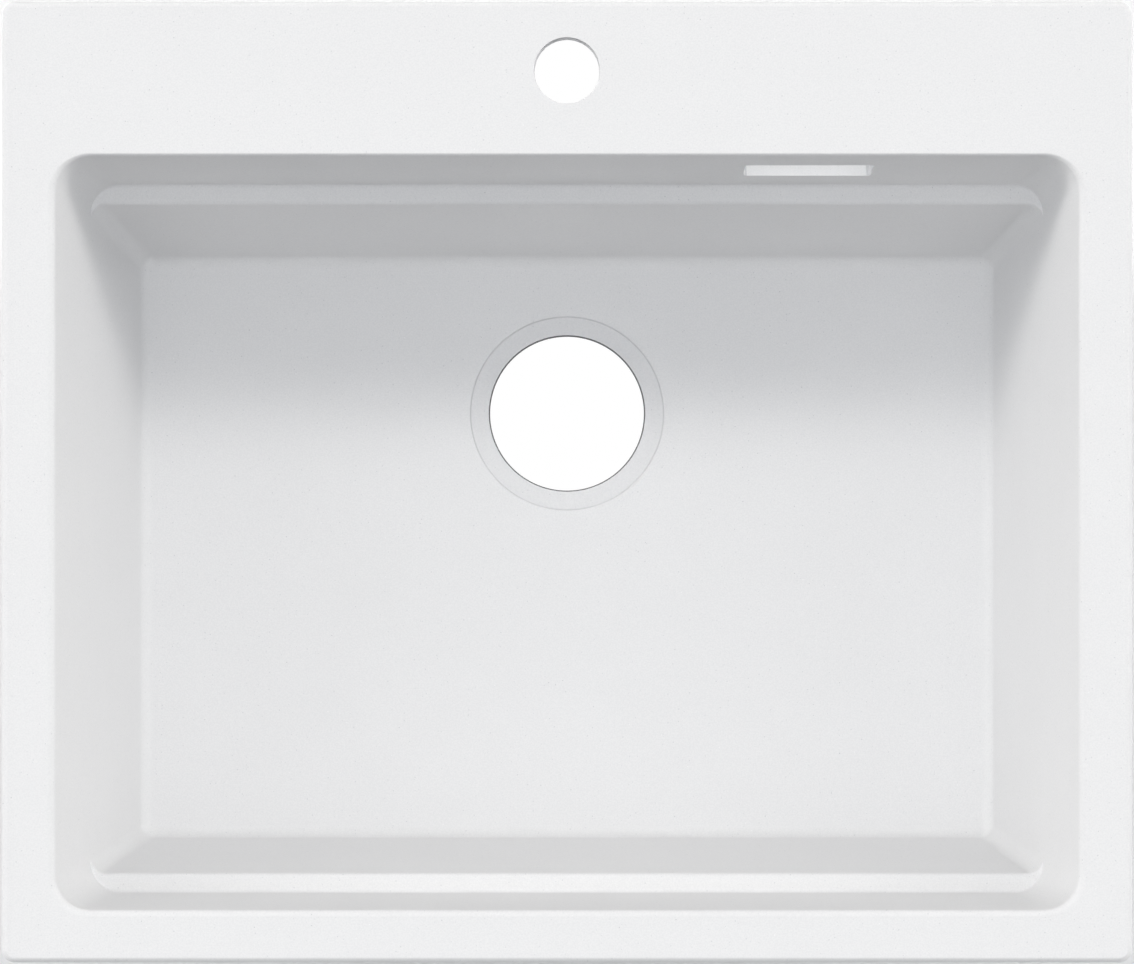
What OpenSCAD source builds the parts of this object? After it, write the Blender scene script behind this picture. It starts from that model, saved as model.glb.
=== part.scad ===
// Inset kitchen sink with one bowl and a tap deck, moulded in one piece from stone composite,
// with the seal under its rim and the claw clamps that hold it in a worktop.
// Origin: centre of the outline, at the height of the bowl's underside.
// +X is the sink's right, +Y its back, +Z up. Lengths are in millimetres.

/* [Rim] */
// Outside width of the sink, left to right
sink_w = 600; // [560:1:640]
// Outside length of the sink, front to back
sink_l = 510; // [480:1:560]
// Thickness of the rim and of the tap deck
rim_t = 12; // [10:0.5:15]
// Plan radius of the rim's outer corners
rim_corner_r = 7; // [5:0.5:20]
// Rounding of the rim's upper outer edge
rim_edge_r = 3; // [1:0.25:4]
// Rounding of the rim's lower outer edge
rim_lower_edge_r = 1; // [0.5:0.25:3]

// Width of the rim on the left and on the right of the bowl
side_rim_w = 29; // [28:0.5:45]
// Width of the rim in front of the bowl
front_rim_w = 28; // [28:0.5:40]
// Width of the tap deck behind the bowl
deck_w = 82; // [74:1:105]

/* [Bowl] */
// Depth from the top of the rim to the bowl's floor
bowl_depth = 200; // [160:1:240]
// Plan radius of the opening's corners
opening_corner_r = 18; // [14:1:30]
// Rounding of the opening's upper edge
opening_edge_r = 3.8; // [2:0.2:5]
// Thickness of the bowl's walls
wall_t = 8; // [6:0.5:8]
// Thickness of the bowl's floor
floor_t = 12; // [10:0.5:16]
// Lean of both side walls, in degrees
side_lean = 7.5; // [4:0.5:9]
// Plan radius of the lower bowl's corners
lower_corner_r = 8.5; // [7:0.5:14]
// Rounding between the walls and the floor
floor_edge_r = 6.5; // [3:0.5:6.5]
// Outer rounding between the walls and the underside
base_edge_r = 11; // [6:0.5:11]

/* [Ledges] */
// Depth of the back and front ledges below the top of the rim
ledge_depth = 77; // [60:1:100]
// Width of the back ledge
back_ledge_w = 10.8; // [6:0.2:14]
// Width of the front ledge
front_ledge_w = 10.4; // [6:0.2:14]
// Plan radius of the corners at the ledges' back
ledge_corner_r = 16; // [12:1:20]
// Roundings along the ledges
ledge_edge_r = 2.2; // [1:0.2:2.6]
// Lean of the back wall above its ledge, in degrees
back_upper_lean = 7.4; // [2:0.1:9]
// Lean of the back wall below its ledge, in degrees
back_lower_lean = 10.8; // [4:0.1:12]
// Lean of the front wall above its ledge, in degrees
front_upper_lean = 1.6; // [1:0.1:5]
// Lean of the front wall below its ledge, in degrees
front_lower_lean = 4.8; // [1:0.1:8]

/* [Drain] */
// Diameter of the hole for the waste
drain_d = 90; // [60:0.5:92]
// Distance from the opening's back edge to the waste's axis
drain_from_back = 133.5; // [110:0.5:290]
// Diameter of the shallow seat for the waste's flange
seat_d = 112; // [100:1:125]
// Depth of that seat
seat_h = 1.2; // [0.6:0.1:2.5]

/* [Tap hole] */
// Diameter of the tap hole
tap_d = 35; // [32:0.5:38]
// Distance from the rim's back edge to the tap hole's axis
tap_from_back = 36.8; // [30:0.1:45]

/* [Overflow] */
// Width of the overflow slot
slot_w = 69; // [40:1:75]
// Height of the overflow slot
slot_h = 27.5; // [12:0.5:30]
// Distance from the bowl's middle to the slot's middle
slot_x = 130; // [125:1:140]
// Depth of the slot's middle below the top of the rim
slot_depth = 39.3; // [34:0.1:45]
// Radius of the slot's corners
slot_corner_r = 2; // [1:0.5:5]

/* [Seal] */
// Distance from the rim's edge to the seal
seal_inset = 2; // [1:0.5:3]
// Width of the seal
seal_w = 7.5; // [5:0.5:7.5]
// Thickness of the seal
seal_t = 3; // [2:0.5:4]

/* [Worktop] */
// Width of the rim that lies on the worktop
rim_overlap = 10; // [9.6:0.1:10.3]
// Thickest worktop that the clamps take
worktop_t = 38; // [28:1:40]
// Free height above the claws before they are tightened
claw_slack = 2; // [1:0.5:4]

/* [Clamp bosses] */
// Height of the bosses under the rim
boss_h = 16; // [15:0.5:20]
// Outside radius of a boss
boss_r = 5.4; // [5:0.1:5.7]
// Distance from the worktop's cut edge to a clamp screw's axis
screw_inset = 5.8; // [5.7:0.1:6]
// Thickness of the webs and ribs under the rim
rib_t = 7; // [4:0.5:9]
// Height of the ribs under the deck, where they meet the bowl
rib_h = 30; // [18:1:40]
// Distance of each tap rib from the tap hole's axis
tap_rib_x = 48; // [40:1:60]
// Height of a tap rib at its free end
tap_rib_end_h = 9; // [6:0.5:14]
// Solid thickness left above a screw's blind hole
rim_skin = 6.5; // [4:0.5:7]
// Radial gap round a screw's tip in its blind hole
tip_gap = 0.5; // [0.3:0.1:0.9]
// Distance of the left and right clamps from the outline's middle
side_clamp_y = 130; // [90:5:160]
// Distance of the front clamps from the outline's middle
front_clamp_x = 170; // [120:5:200]
// Distance of the back clamps from the outline's middle
back_clamp_x = 192; // [185:1:220]

/* [Inserts] */
// Outside radius of a threaded insert
insert_r = 3.5; // [3.2:0.1:3.8]
// Length of an insert inside its boss
insert_l = 12; // [8:0.5:13]
// Radius of an insert's flange
insert_flange_r = 4.6; // [4.2:0.1:4.9]
// Thickness of an insert's flange
insert_flange_t = 1; // [0.6:0.1:1.5]
// Radial gap between an insert and its boss
insert_gap = 0.02; // [0.01:0.01:0.05]

/* [Clamp screws] */
// Radius of a screw's thread
screw_r = 2.5; // [2:0.1:2.8]
// Length of a screw under its head
screw_l = 45; // [40:0.5:50]
// Width across the flats of the hexagonal head
head_flats = 8; // [7:0.5:8]
// Height of the head
head_h = 3.5; // [3:0.1:4]
// Width of the screwdriver slot in the head
driver_slot_w = 1.2; // [0.8:0.1:1.6]
// Depth of the screwdriver slot
driver_slot_h = 1.6; // [1:0.1:2]
// Length of the chamfer at the screw's tip
tip_chamfer = 0.8; // [0.4:0.1:1.2]
// Radial gap between a screw and what turns on it
screw_gap = 0.08; // [0.04:0.01:0.1]

/* [Claws] */
// Width of a claw
claw_w = 10; // [9:0.5:10.5]
// Distance from the screw's axis to the claw's tip
claw_reach = 20; // [18:0.5:24]
// Thickness of a claw's plate
claw_t = 2; // [1.5:0.1:2.5]
// Thickness of a claw's two cheeks
cheek_t = 1.5; // [1:0.1:2]
// Height of the teeth above the plate
tooth_h = 6; // [4:0.5:8]
// Width of each tooth
tooth_w = 4; // [3:0.5:5]
// Depth of the notches behind the teeth
notch_h = 3; // [1:0.5:3.5]
// Height of the cheeks above the plate, where they begin
cheek_h = 1; // [0.5:0.5:2]
// Radius of the washer under a claw
washer_r = 5; // [4.8:0.1:5.2]
// Thickness of that washer
washer_t = 1.2; // [0.8:0.1:1.6]
// Gap between the claw, the washer and the screw's head
stack_gap = 0.3; // [0.2:0.05:0.4]

/* [Hidden] */
$fn = 48;
// Segments in each quarter of a plan corner, and in each small rounding
corner_steps = 6;
edge_steps = 4;
// Least step in from one outline to the next, which keeps the faces sound
least_step = 0.3;
// Drop of the outer wall's slope below the ledges
shoulder_h = 10;
// Height of the fillet under the rim, along the bowl's outer wall
root_fillet = 3;
// How far a cutting body runs past the faces that it cuts
over = 1;

total_h = bowl_depth + floor_t;
rim_under_z = total_h - rim_t;
opening_front_y = -sink_l / 2 + front_rim_w;
opening_back_y = sink_l / 2 - deck_w;
opening_w = sink_w - 2 * side_rim_w;
drain_y = opening_back_y - drain_from_back;
tap_y = sink_l / 2 - tap_from_back;

boss_under_z = rim_under_z - boss_h;
screw_edge = rim_overlap + screw_inset;
head_r = head_flats / 2 / cos(30);
// The stack under a boss, from the worktop's underside down
tooth_tip_z = rim_under_z - seal_t - worktop_t - claw_slack;
claw_z = tooth_tip_z - tooth_h - claw_t;
washer_z = claw_z - stack_gap - washer_t;
head_top_z = washer_z - stack_gap;

// Name, outward direction and screw axis of each clamp
SPOTS = [
  ["right_front", 0, [sink_w / 2 - screw_edge, -side_clamp_y]],
  ["right_back", 0, [sink_w / 2 - screw_edge, side_clamp_y]],
  ["back_right", 90, [back_clamp_x, sink_l / 2 - screw_edge]],
  ["back_left", 90, [-back_clamp_x, sink_l / 2 - screw_edge]],
  ["left_back", 180, [-sink_w / 2 + screw_edge, side_clamp_y]],
  ["left_front", 180, [-sink_w / 2 + screw_edge, -side_clamp_y]],
  ["front_left", 270, [-front_clamp_x, -sink_l / 2 + screw_edge]],
  ["front_right", 270, [front_clamp_x, -sink_l / 2 + screw_edge]]
];

// Half width, back and front of the bowl at a depth below the top of the rim
function side_x(depth) = opening_w / 2 - depth * tan(side_lean);
function back_upper_y(depth) = opening_back_y - depth * tan(back_upper_lean);
function front_upper_y(depth) = opening_front_y + depth * tan(front_upper_lean);
function back_lower_y(depth) =
  back_upper_y(ledge_depth) - back_ledge_w - (depth - ledge_depth) * tan(back_lower_lean);
function front_lower_y(depth) =
  front_upper_y(ledge_depth) + front_ledge_w + (depth - ledge_depth) * tan(front_lower_lean);

// Points of a rectangle with round corners, half width x, from y0 to y1, at height z
function outline(x, y0, y1, r, z) = [
  for (corner = [[x - r, y1 - r, 0], [r - x, y1 - r, 90], [r - x, y0 + r, 180], [x - r, y0 + r, 270]])
    for (i = [0 : corner_steps])
      let (a = corner[2] + 90 * i / corner_steps)
      [corner[0] + r * cos(a), corner[1] + r * sin(a), z]
];
// The bowl's outline below and above the ledges, moved out by some distance
function lower_outline(depth, out, r) = outline(
  side_x(depth) + out, front_lower_y(depth) - out, back_lower_y(depth) + out, r, total_h - depth);
function upper_outline(depth, out, r) = outline(
  side_x(depth) + out, front_upper_y(depth) - out, back_upper_y(depth) + out, r, total_h - depth);
// The rim's outline, moved in by some distance
function rim_outline(depth, inset) = outline(
  sink_w / 2 - inset, -sink_l / 2 + inset, sink_l / 2 - inset, rim_corner_r - inset, total_h - depth);
// The edge of a ledge, moved in at its ends by the least step only
function ledge_outline(depth, back, front, r) = outline(
  side_x(ledge_depth) - least_step * (1 - back / back_ledge_w),
  front_lower_y(ledge_depth) - front, back_lower_y(ledge_depth) + back, r, total_h - depth);

// Outlines of the moulding, from the bowl's floor over the rim to the underside
function floor_rounding() = [
  for (i = [0 : edge_steps])
    let (a = 90 * i / edge_steps, in = floor_edge_r * (1 - sin(a)))
    lower_outline(bowl_depth - floor_edge_r * (1 - cos(a)), -in, lower_corner_r - in)
];
function ledge_edge() = [
  for (i = [0 : edge_steps])
    let (a = 90 * i / edge_steps, back = ledge_edge_r * (1 - cos(a)))
    ledge_outline(ledge_depth + ledge_edge_r * (1 - sin(a)), back, back, lower_corner_r + back)
];
function ledge_root() = [
  for (i = [0 : edge_steps])
    let (a = 90 * i / edge_steps, in = ledge_edge_r * (1 - sin(a)))
    outline(
      side_x(ledge_depth - ledge_edge_r * (1 - cos(a))) - least_step / 2 * (1 - i / edge_steps),
      front_upper_y(ledge_depth) + in, back_upper_y(ledge_depth) - in,
      ledge_corner_r - in, total_h - ledge_depth + ledge_edge_r * (1 - cos(a)))
];
function opening_rounding() = [
  for (i = [0 : edge_steps])
    let (a = 90 * i / edge_steps, out = opening_edge_r * (1 - cos(a)))
    upper_outline(opening_edge_r * (1 - sin(a)), out, opening_corner_r + out)
];
function rim_rounding() = [
  for (i = [0 : edge_steps])
    let (a = 90 * i / edge_steps)
    rim_outline(rim_edge_r * (1 - cos(a)), rim_edge_r * (1 - sin(a)))
];
function rim_lower_rounding() = [
  for (i = [0 : edge_steps / 2])
    let (a = 90 * i / (edge_steps / 2))
    rim_outline(rim_t - rim_lower_edge_r * (1 - sin(a)), rim_lower_edge_r * (1 - cos(a)))
];
function root_rounding() = [
  for (i = [0 : edge_steps / 2])
    let (a = 90 * i / (edge_steps / 2))
    upper_outline(
      rim_t + root_fillet * (1 - cos(a)), wall_t + root_fillet * (1 - sin(a)),
      opening_corner_r + wall_t + root_fillet * (1 - sin(a)))
];
function shoulder() = [
  upper_outline(ledge_depth + wall_t / 2, wall_t, ledge_corner_r + wall_t),
  lower_outline(ledge_depth + wall_t / 2 + shoulder_h, wall_t, lower_corner_r + wall_t)
];
function base_rounding() = [
  for (i = [0 : edge_steps])
    let (a = 90 * i / edge_steps, in = base_edge_r * (1 - cos(a)))
    lower_outline(
      bowl_depth + floor_t - base_edge_r * (1 - sin(a)), wall_t - in, lower_corner_r + wall_t - in)
];

// A closed skin over a list of outlines that all have the same number of points
module loft(outlines) {
  n = len(outlines[0]);
  last = len(outlines) - 1;
  polyhedron(
    points = [for (points = outlines) each points],
    faces = concat(
      [[for (i = [n - 1 : -1 : 0]) i]],
      [for (k = [0 : last - 1], i = [0 : n - 1])
        let (a = k * n + i, b = k * n + (i + 1) % n) each [[a, b, b + n], [a, b + n, a + n]]],
      [[for (i = [0 : n - 1]) last * n + i]]
    )
  );
}

// A rectangle with round corners, middled on the origin
module round_rectangle(w, l, r) {
  square([w - 2 * r, l], center = true);
  square([w, l - 2 * r], center = true);
  for (x = [-1, 1], y = [-1, 1])
    translate([x * (w / 2 - r), y * (l / 2 - r)]) circle(r);
}

// Places its children at each clamp, or at one of them, with +X pointing out of the sink
module at_spot(spot) {
  translate([spot[2][0], spot[2][1], 0]) rotate(spot[1]) children();
}

// Distance from a clamp screw's axis in to the middle of the bowl's wall
function web_reach(direction) =
  let (depth = rim_t + boss_h)
  direction == 90 ? sink_l / 2 - screw_edge - back_upper_y(depth) - wall_t / 2 :
  direction == 270 ? sink_l / 2 - screw_edge + front_upper_y(depth) - wall_t / 2 :
  sink_w / 2 - screw_edge - side_x(depth) - wall_t / 2;

// An upright rib along X from x = -reach to x = 0, hanging from the rim, level at its end
module hanging_rib(reach, root_h, end_h) {
  translate([0, rib_t / 2, rim_under_z]) rotate([90, 0, 0]) linear_extrude(rib_t)
    polygon([[-reach, over], [0, over], [0, -end_h], [-boss_r, -end_h], [-reach, -root_h]]);
}

module boss(direction) {
  translate([0, 0, boss_under_z]) cylinder(h = boss_h + over, r = boss_r);
  hanging_rib(web_reach(direction), direction == 90 ? rib_h : boss_h, boss_h);
}

module boss_hole() {
  translate([0, 0, boss_under_z - over]) cylinder(h = insert_l + over, r = insert_r);
  translate([0, 0, boss_under_z]) cylinder(h = boss_h + rim_t - rim_skin, r = screw_r + tip_gap);
}

module tap_ribs() {
  for (side = [-1, 1])
    translate([side * tap_rib_x, sink_l / 2 - screw_edge, 0]) rotate(90)
      hanging_rib(web_reach(90), rib_h, tap_rib_end_h);
}

module overflow_slot() {
  y0 = back_upper_y(slot_depth + slot_h / 2) - over - wall_t;
  translate([slot_x, y0, total_h - slot_depth]) rotate([-90, 0, 0])
    linear_extrude(3 * wall_t + 2 * over) round_rectangle(slot_w, slot_h, slot_corner_r);
}

module sink_body() {
  color([0.93, 0.935, 0.94]) difference() {
    union() {
      loft(concat(
        floor_rounding(), ledge_edge(), ledge_root(), opening_rounding(), rim_rounding(),
        rim_lower_rounding(), root_rounding(), shoulder(), base_rounding()));
      for (spot = SPOTS) at_spot(spot) boss(spot[1]);
      tap_ribs();
    }
    translate([0, drain_y, -over]) cylinder(h = floor_t + 2 * over, r = drain_d / 2, $fn = 96);
    translate([0, drain_y, floor_t - seat_h]) cylinder(h = seat_h + over, r = seat_d / 2, $fn = 96);
    translate([0, tap_y, rim_under_z - over]) cylinder(h = rim_t + 2 * over, r = tap_d / 2);
    overflow_slot();
    for (spot = SPOTS) at_spot(spot) boss_hole();
  }
}

module rim_seal() {
  outer_r = rim_corner_r - seal_inset;
  color([0.25, 0.26, 0.27]) translate([0, 0, rim_under_z - seal_t]) linear_extrude(seal_t)
    difference() {
      round_rectangle(sink_w - 2 * seal_inset, sink_l - 2 * seal_inset, outer_r);
      round_rectangle(
        sink_w - 2 * seal_inset - 2 * seal_w, sink_l - 2 * seal_inset - 2 * seal_w, outer_r / 2);
    }
}

module threaded_inserts() {
  color([0.78, 0.62, 0.3]) for (spot = SPOTS) at_spot(spot) difference() {
    union() {
      translate([0, 0, boss_under_z - insert_flange_t])
        cylinder(h = insert_flange_t, r = insert_flange_r);
      translate([0, 0, boss_under_z - insert_flange_t])
        cylinder(h = insert_l + insert_flange_t, r = insert_r - insert_gap);
    }
    translate([0, 0, boss_under_z - insert_flange_t - over])
      cylinder(h = insert_l + insert_flange_t + 2 * over, r = screw_r + screw_gap);
  }
}

module clamp_screw() {
  color([0.72, 0.73, 0.74]) {
    translate([0, 0, head_top_z]) cylinder(h = screw_l - tip_chamfer, r = screw_r);
    translate([0, 0, head_top_z + screw_l - tip_chamfer])
      cylinder(h = tip_chamfer, r1 = screw_r, r2 = screw_r - tip_chamfer);
    difference() {
      translate([0, 0, head_top_z - head_h]) cylinder(h = head_h, r = head_r, $fn = 6);
      translate([-head_flats, -driver_slot_w / 2, head_top_z - head_h - over])
        cube([2 * head_flats, driver_slot_w, driver_slot_h + over]);
    }
  }
}

module clamp_washer() {
  color([0.7, 0.71, 0.72]) translate([0, 0, washer_z]) difference() {
    cylinder(h = washer_t, r = washer_r);
    translate([0, 0, -over]) cylinder(h = washer_t + 2 * over, r = screw_r + screw_gap);
  }
}

// One cheek of a claw, with two pointed teeth at its outer end
module cheek() {
  root = claw_w / 2;
  tip = claw_t + tooth_h;
  rotate([90, 0, 90]) linear_extrude(cheek_t)
    polygon([
      [root, 0], [claw_reach, 0], [claw_reach, tip], [claw_reach - tooth_w, tip - notch_h],
      [claw_reach - tooth_w, tip], [claw_reach - 2 * tooth_w, tip - notch_h],
      [root + cheek_h, claw_t + cheek_h], [root, claw_t]
    ]);
}

// At rest the claw lies along the rim; it swings out through a right angle
module clamp_claw() {
  color([0.62, 0.63, 0.64]) translate([0, 0, claw_z]) difference() {
    union() {
      cylinder(h = claw_t, r = claw_w / 2);
      translate([-claw_w / 2, 0, 0]) cube([claw_w, claw_reach, claw_t]);
      translate([-claw_w / 2, 0, 0]) cheek();
      translate([claw_w / 2 - cheek_t, 0, 0]) cheek();
    }
    translate([0, 0, -over]) cylinder(h = claw_t + 2 * over, r = screw_r + screw_gap);
  }
}

sink_body();
rim_seal();
threaded_inserts();
for (spot = SPOTS) {
  at_spot(spot) clamp_screw();
  at_spot(spot) clamp_washer();
  at_spot(spot) clamp_claw();
}
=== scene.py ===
"""Looks of the kitchen sink: a single-bowl inset sink in pale speckled stone composite.

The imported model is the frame. Each of its nodes is replaced by a finer piece in the same place: the moulding
itself, the foam seal under its rim, the brass inserts in its bosses and the eight worktop clamps. The sizes
are those of the part, in millimetres, with the top of the rim at ``Moulding.total_h``.
"""

import logging
import math
from collections.abc import Callable, Iterator
from contextlib import contextmanager
from dataclasses import dataclass, field
from enum import Enum

import bmesh
import bpy
from mathutils import Matrix, Vector


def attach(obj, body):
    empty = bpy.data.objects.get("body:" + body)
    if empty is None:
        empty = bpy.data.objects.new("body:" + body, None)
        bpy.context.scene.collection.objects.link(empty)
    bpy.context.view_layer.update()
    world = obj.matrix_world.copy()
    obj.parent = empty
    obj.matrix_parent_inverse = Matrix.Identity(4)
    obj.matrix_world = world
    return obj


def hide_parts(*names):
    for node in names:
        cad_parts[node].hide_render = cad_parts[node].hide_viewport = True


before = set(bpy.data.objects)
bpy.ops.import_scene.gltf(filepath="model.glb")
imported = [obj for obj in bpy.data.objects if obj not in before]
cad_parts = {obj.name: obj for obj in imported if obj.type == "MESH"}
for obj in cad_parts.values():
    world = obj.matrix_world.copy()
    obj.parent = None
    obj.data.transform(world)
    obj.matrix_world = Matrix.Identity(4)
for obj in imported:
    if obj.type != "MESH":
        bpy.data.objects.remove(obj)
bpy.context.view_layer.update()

Piece = bpy.types.Object
Material = bpy.types.Material
Socket = bpy.types.NodeSocket
Face = bpy.types.MeshPolygon
Point = bmesh.types.BMVert
Place = tuple[float, float, float]
Colour = tuple[float, float, float, float]

MM = 0.001
WHITE: Colour = (1.0, 1.0, 1.0, 1.0)
log = logging.getLogger("kitchen_sink")


class Side(Enum):
    """The way out of the sink at a clamp, as a turn about +Z in degrees."""

    RIGHT = 0
    BACK = 90
    LEFT = 180
    FRONT = 270


class Mix(Enum):
    """What a tool body does to the piece that it is applied to."""

    CUT = "DIFFERENCE"
    ADD = "UNION"
    COMMON = "INTERSECT"


@dataclass(frozen=True)
class Spot:
    """One of the eight clamp places, in millimetres."""

    name: str
    side: Side
    x: float
    y: float

    def matrix(self) -> Matrix:
        """The move from a clamp modelled on the Z axis, with +X pointing out of the sink, to this place."""
        return Matrix.Translation((self.x * MM, self.y * MM, 0.0)) @ Matrix.Rotation(
            math.radians(self.side.value), 4, "Z"
        )


SPOTS: tuple[Spot, ...] = (
    Spot("right_front", Side.RIGHT, 284.2, -130.0),
    Spot("right_back", Side.RIGHT, 284.2, 130.0),
    Spot("back_right", Side.BACK, 192.0, 239.2),
    Spot("back_left", Side.BACK, -192.0, 239.2),
    Spot("left_back", Side.LEFT, -284.2, 130.0),
    Spot("left_front", Side.LEFT, -284.2, -130.0),
    Spot("front_left", Side.FRONT, -170.0, -239.2),
    Spot("front_right", Side.FRONT, 170.0, -239.2),
)


class Bench:
    """Modelling steps that all the pieces share. Lengths are in millimetres."""

    @staticmethod
    def activate(piece: Piece) -> None:
        """Selects one piece alone and makes it the active one."""
        if bpy.context.mode != "OBJECT":
            bpy.ops.object.mode_set(mode="OBJECT")
        bpy.ops.object.select_all(action="DESELECT")
        bpy.context.view_layer.objects.active = piece
        piece.select_set(True)

    @staticmethod
    def blank(name: str) -> Piece:
        """Adds an empty piece, ready to be modelled in edit mode."""
        piece = bpy.data.objects.new(name, bpy.data.meshes.new(name))
        bpy.context.scene.collection.objects.link(piece)
        Bench.activate(piece)
        return piece

    @staticmethod
    @contextmanager
    def editing(piece: Piece, mode: str = "VERT") -> Iterator[None]:
        """Opens a piece in edit mode with nothing selected, and closes it again.

        Args:
            piece: The piece to open.
            mode: VERT, EDGE or FACE, the kind of element that is selected.
        """
        Bench.activate(piece)
        bpy.ops.object.mode_set(mode="EDIT")
        bpy.ops.mesh.select_mode(type=mode)
        bpy.ops.mesh.select_all(action="DESELECT")
        yield
        bpy.ops.object.mode_set(mode="OBJECT")

    @staticmethod
    def pick(piece: Piece, kind: str, test: Callable[..., bool]) -> int:
        """Selects by place or normal the elements of a piece that is open in edit mode.

        Args:
            piece: The piece that is open.
            kind: verts, edges or faces.
            test: Says for an element whether it is wanted.

        Returns:
            How many elements were selected.
        """
        bpy.ops.mesh.select_all(action="DESELECT")
        shape = bmesh.from_edit_mesh(piece.data)
        count = 0
        for element in getattr(shape, kind):
            if test(element):
                element.select_set(True)
                count += 1
        shape.select_flush_mode()
        bmesh.update_edit_mesh(piece.data)
        return count

    @staticmethod
    def tidy(piece: Piece, distance: float = 0.001) -> None:
        """Merges points that coincide and turns all faces outwards.

        Args:
            piece: The piece, in object mode.
            distance: Points nearer than this are merged.
        """
        with Bench.editing(piece):
            bpy.ops.mesh.select_all(action="SELECT")
            bpy.ops.mesh.remove_doubles(threshold=distance * MM)
            bpy.ops.mesh.select_all(action="SELECT")
            bpy.ops.mesh.normals_make_consistent(inside=False)

    @staticmethod
    def cylinder(name: str, radius: float, z0: float, z1: float, sides: int) -> Piece:
        """Adds an upright cylinder from z0 to z1 on the Z axis."""
        piece = Bench.blank(name)
        with Bench.editing(piece):
            bpy.ops.mesh.primitive_cylinder_add(
                vertices=sides, radius=radius * MM, depth=(z1 - z0) * MM,
                location=(0.0, 0.0, (z0 + z1) / 2 * MM))
        return piece

    @staticmethod
    def cone(name: str, low_r: float, high_r: float, z0: float, z1: float, sides: int,
             y: float) -> Piece:
        """Adds an upright taper from z0 to z1 with its axis at y, for a hole with draft."""
        piece = Bench.blank(name)
        with Bench.editing(piece):
            bpy.ops.mesh.primitive_cone_add(
                vertices=sides, radius1=low_r * MM, radius2=high_r * MM, depth=(z1 - z0) * MM,
                location=(0.0, y * MM, (z0 + z1) / 2 * MM))
        return piece

    @staticmethod
    def block(name: str, low: Place, high: Place) -> Piece:
        """Adds a block between two corners."""
        piece = Bench.blank(name)
        middle = [(a + b) / 2 * MM for a, b in zip(low, high)]
        with Bench.editing(piece):
            bpy.ops.mesh.primitive_cube_add(size=1.0, location=middle)
            bpy.ops.transform.resize(
                value=[(b - a) * MM for a, b in zip(low, high)], center_override=middle)
        return piece

    @staticmethod
    def slide_points(piece: Piece, test: Callable[..., bool], move: Place) -> None:
        """Moves the points of a piece that pass a test."""
        with Bench.editing(piece):
            Bench.pick(piece, "verts", test)
            bpy.ops.transform.translate(value=[c * MM for c in move])

    @staticmethod
    def spread_points(piece: Piece, test: Callable[..., bool], grow: float, z: float) -> None:
        """Scales the points of a piece that pass a test away from the Z axis, about the height z."""
        with Bench.editing(piece):
            Bench.pick(piece, "verts", test)
            bpy.ops.transform.resize(value=(grow, grow, 1.0), center_override=(0.0, 0.0, z * MM))

    @staticmethod
    def round_edges(piece: Piece, test: Callable[..., bool], width: float, steps: int) -> None:
        """Bevels the edges of a piece that pass a test, in so many steps."""
        with Bench.editing(piece, "EDGE"):
            if Bench.pick(piece, "edges", test):
                bpy.ops.mesh.bevel(offset=width * MM, segments=steps, affect="EDGES")

    @staticmethod
    def extrude(rise: float) -> None:
        """Pulls the selected faces of the open piece up."""
        bpy.ops.mesh.extrude_region_move(TRANSFORM_OT_translate={"value": (0.0, 0.0, rise * MM)})

    @staticmethod
    def apply(piece: Piece, kind: str, **settings: object) -> None:
        """Adds a modifier with these settings and applies it."""
        Bench.activate(piece)
        modifier = piece.modifiers.new(kind.title(), kind)
        for key, value in settings.items():
            setattr(modifier, key, value)
        bpy.ops.object.modifier_apply(modifier=modifier.name)

    @staticmethod
    def combine(piece: Piece, tool: Piece, mix: Mix = Mix.CUT,
                overlapping: bool = False) -> None:
        """Cuts a piece with a tool body or joins it on, and uses the tool up.

        Args:
            piece: The piece that is changed.
            tool: The closed body that changes it.
            mix: Whether the body is cut away or joined on.
            overlapping: Whether the tool's own bodies overlap each other.
        """
        Bench.apply(piece, "BOOLEAN", operation=mix.value, solver="EXACT", object=tool,
                    use_self=overlapping)
        bpy.data.objects.remove(tool)

    @staticmethod
    def join(name: str, parts: list[Piece]) -> Piece:
        """Makes one piece of several."""
        Bench.activate(parts[0])
        for part in parts[1:]:
            part.select_set(True)
        if len(parts) > 1:
            bpy.ops.object.join()
        parts[0].name = parts[0].data.name = name
        return parts[0]

    @staticmethod
    def copy(name: str, piece: Piece, place: Matrix) -> Piece:
        """Copies a piece with its own mesh to another place, which goes into the mesh."""
        mesh = piece.data.copy()
        mesh.transform(place)
        mesh.name = name
        twin = bpy.data.objects.new(name, mesh)
        bpy.context.scene.collection.objects.link(twin)
        return twin

    @staticmethod
    def smooth(piece: Piece, degrees: float) -> None:
        """Shades a piece smooth, apart from edges sharper than an angle, with its flat faces kept flat."""
        Bench.activate(piece)
        bpy.ops.object.shade_smooth_by_angle(angle=math.radians(degrees))
        Bench.apply(piece, "WEIGHTED_NORMAL", keep_sharp=True, weight=80)

    @staticmethod
    def wear(piece: Piece, *materials: Material) -> None:
        """Gives a piece its materials in place of those that it has."""
        piece.data.materials.clear()
        for material in materials:
            piece.data.materials.append(material)


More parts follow.
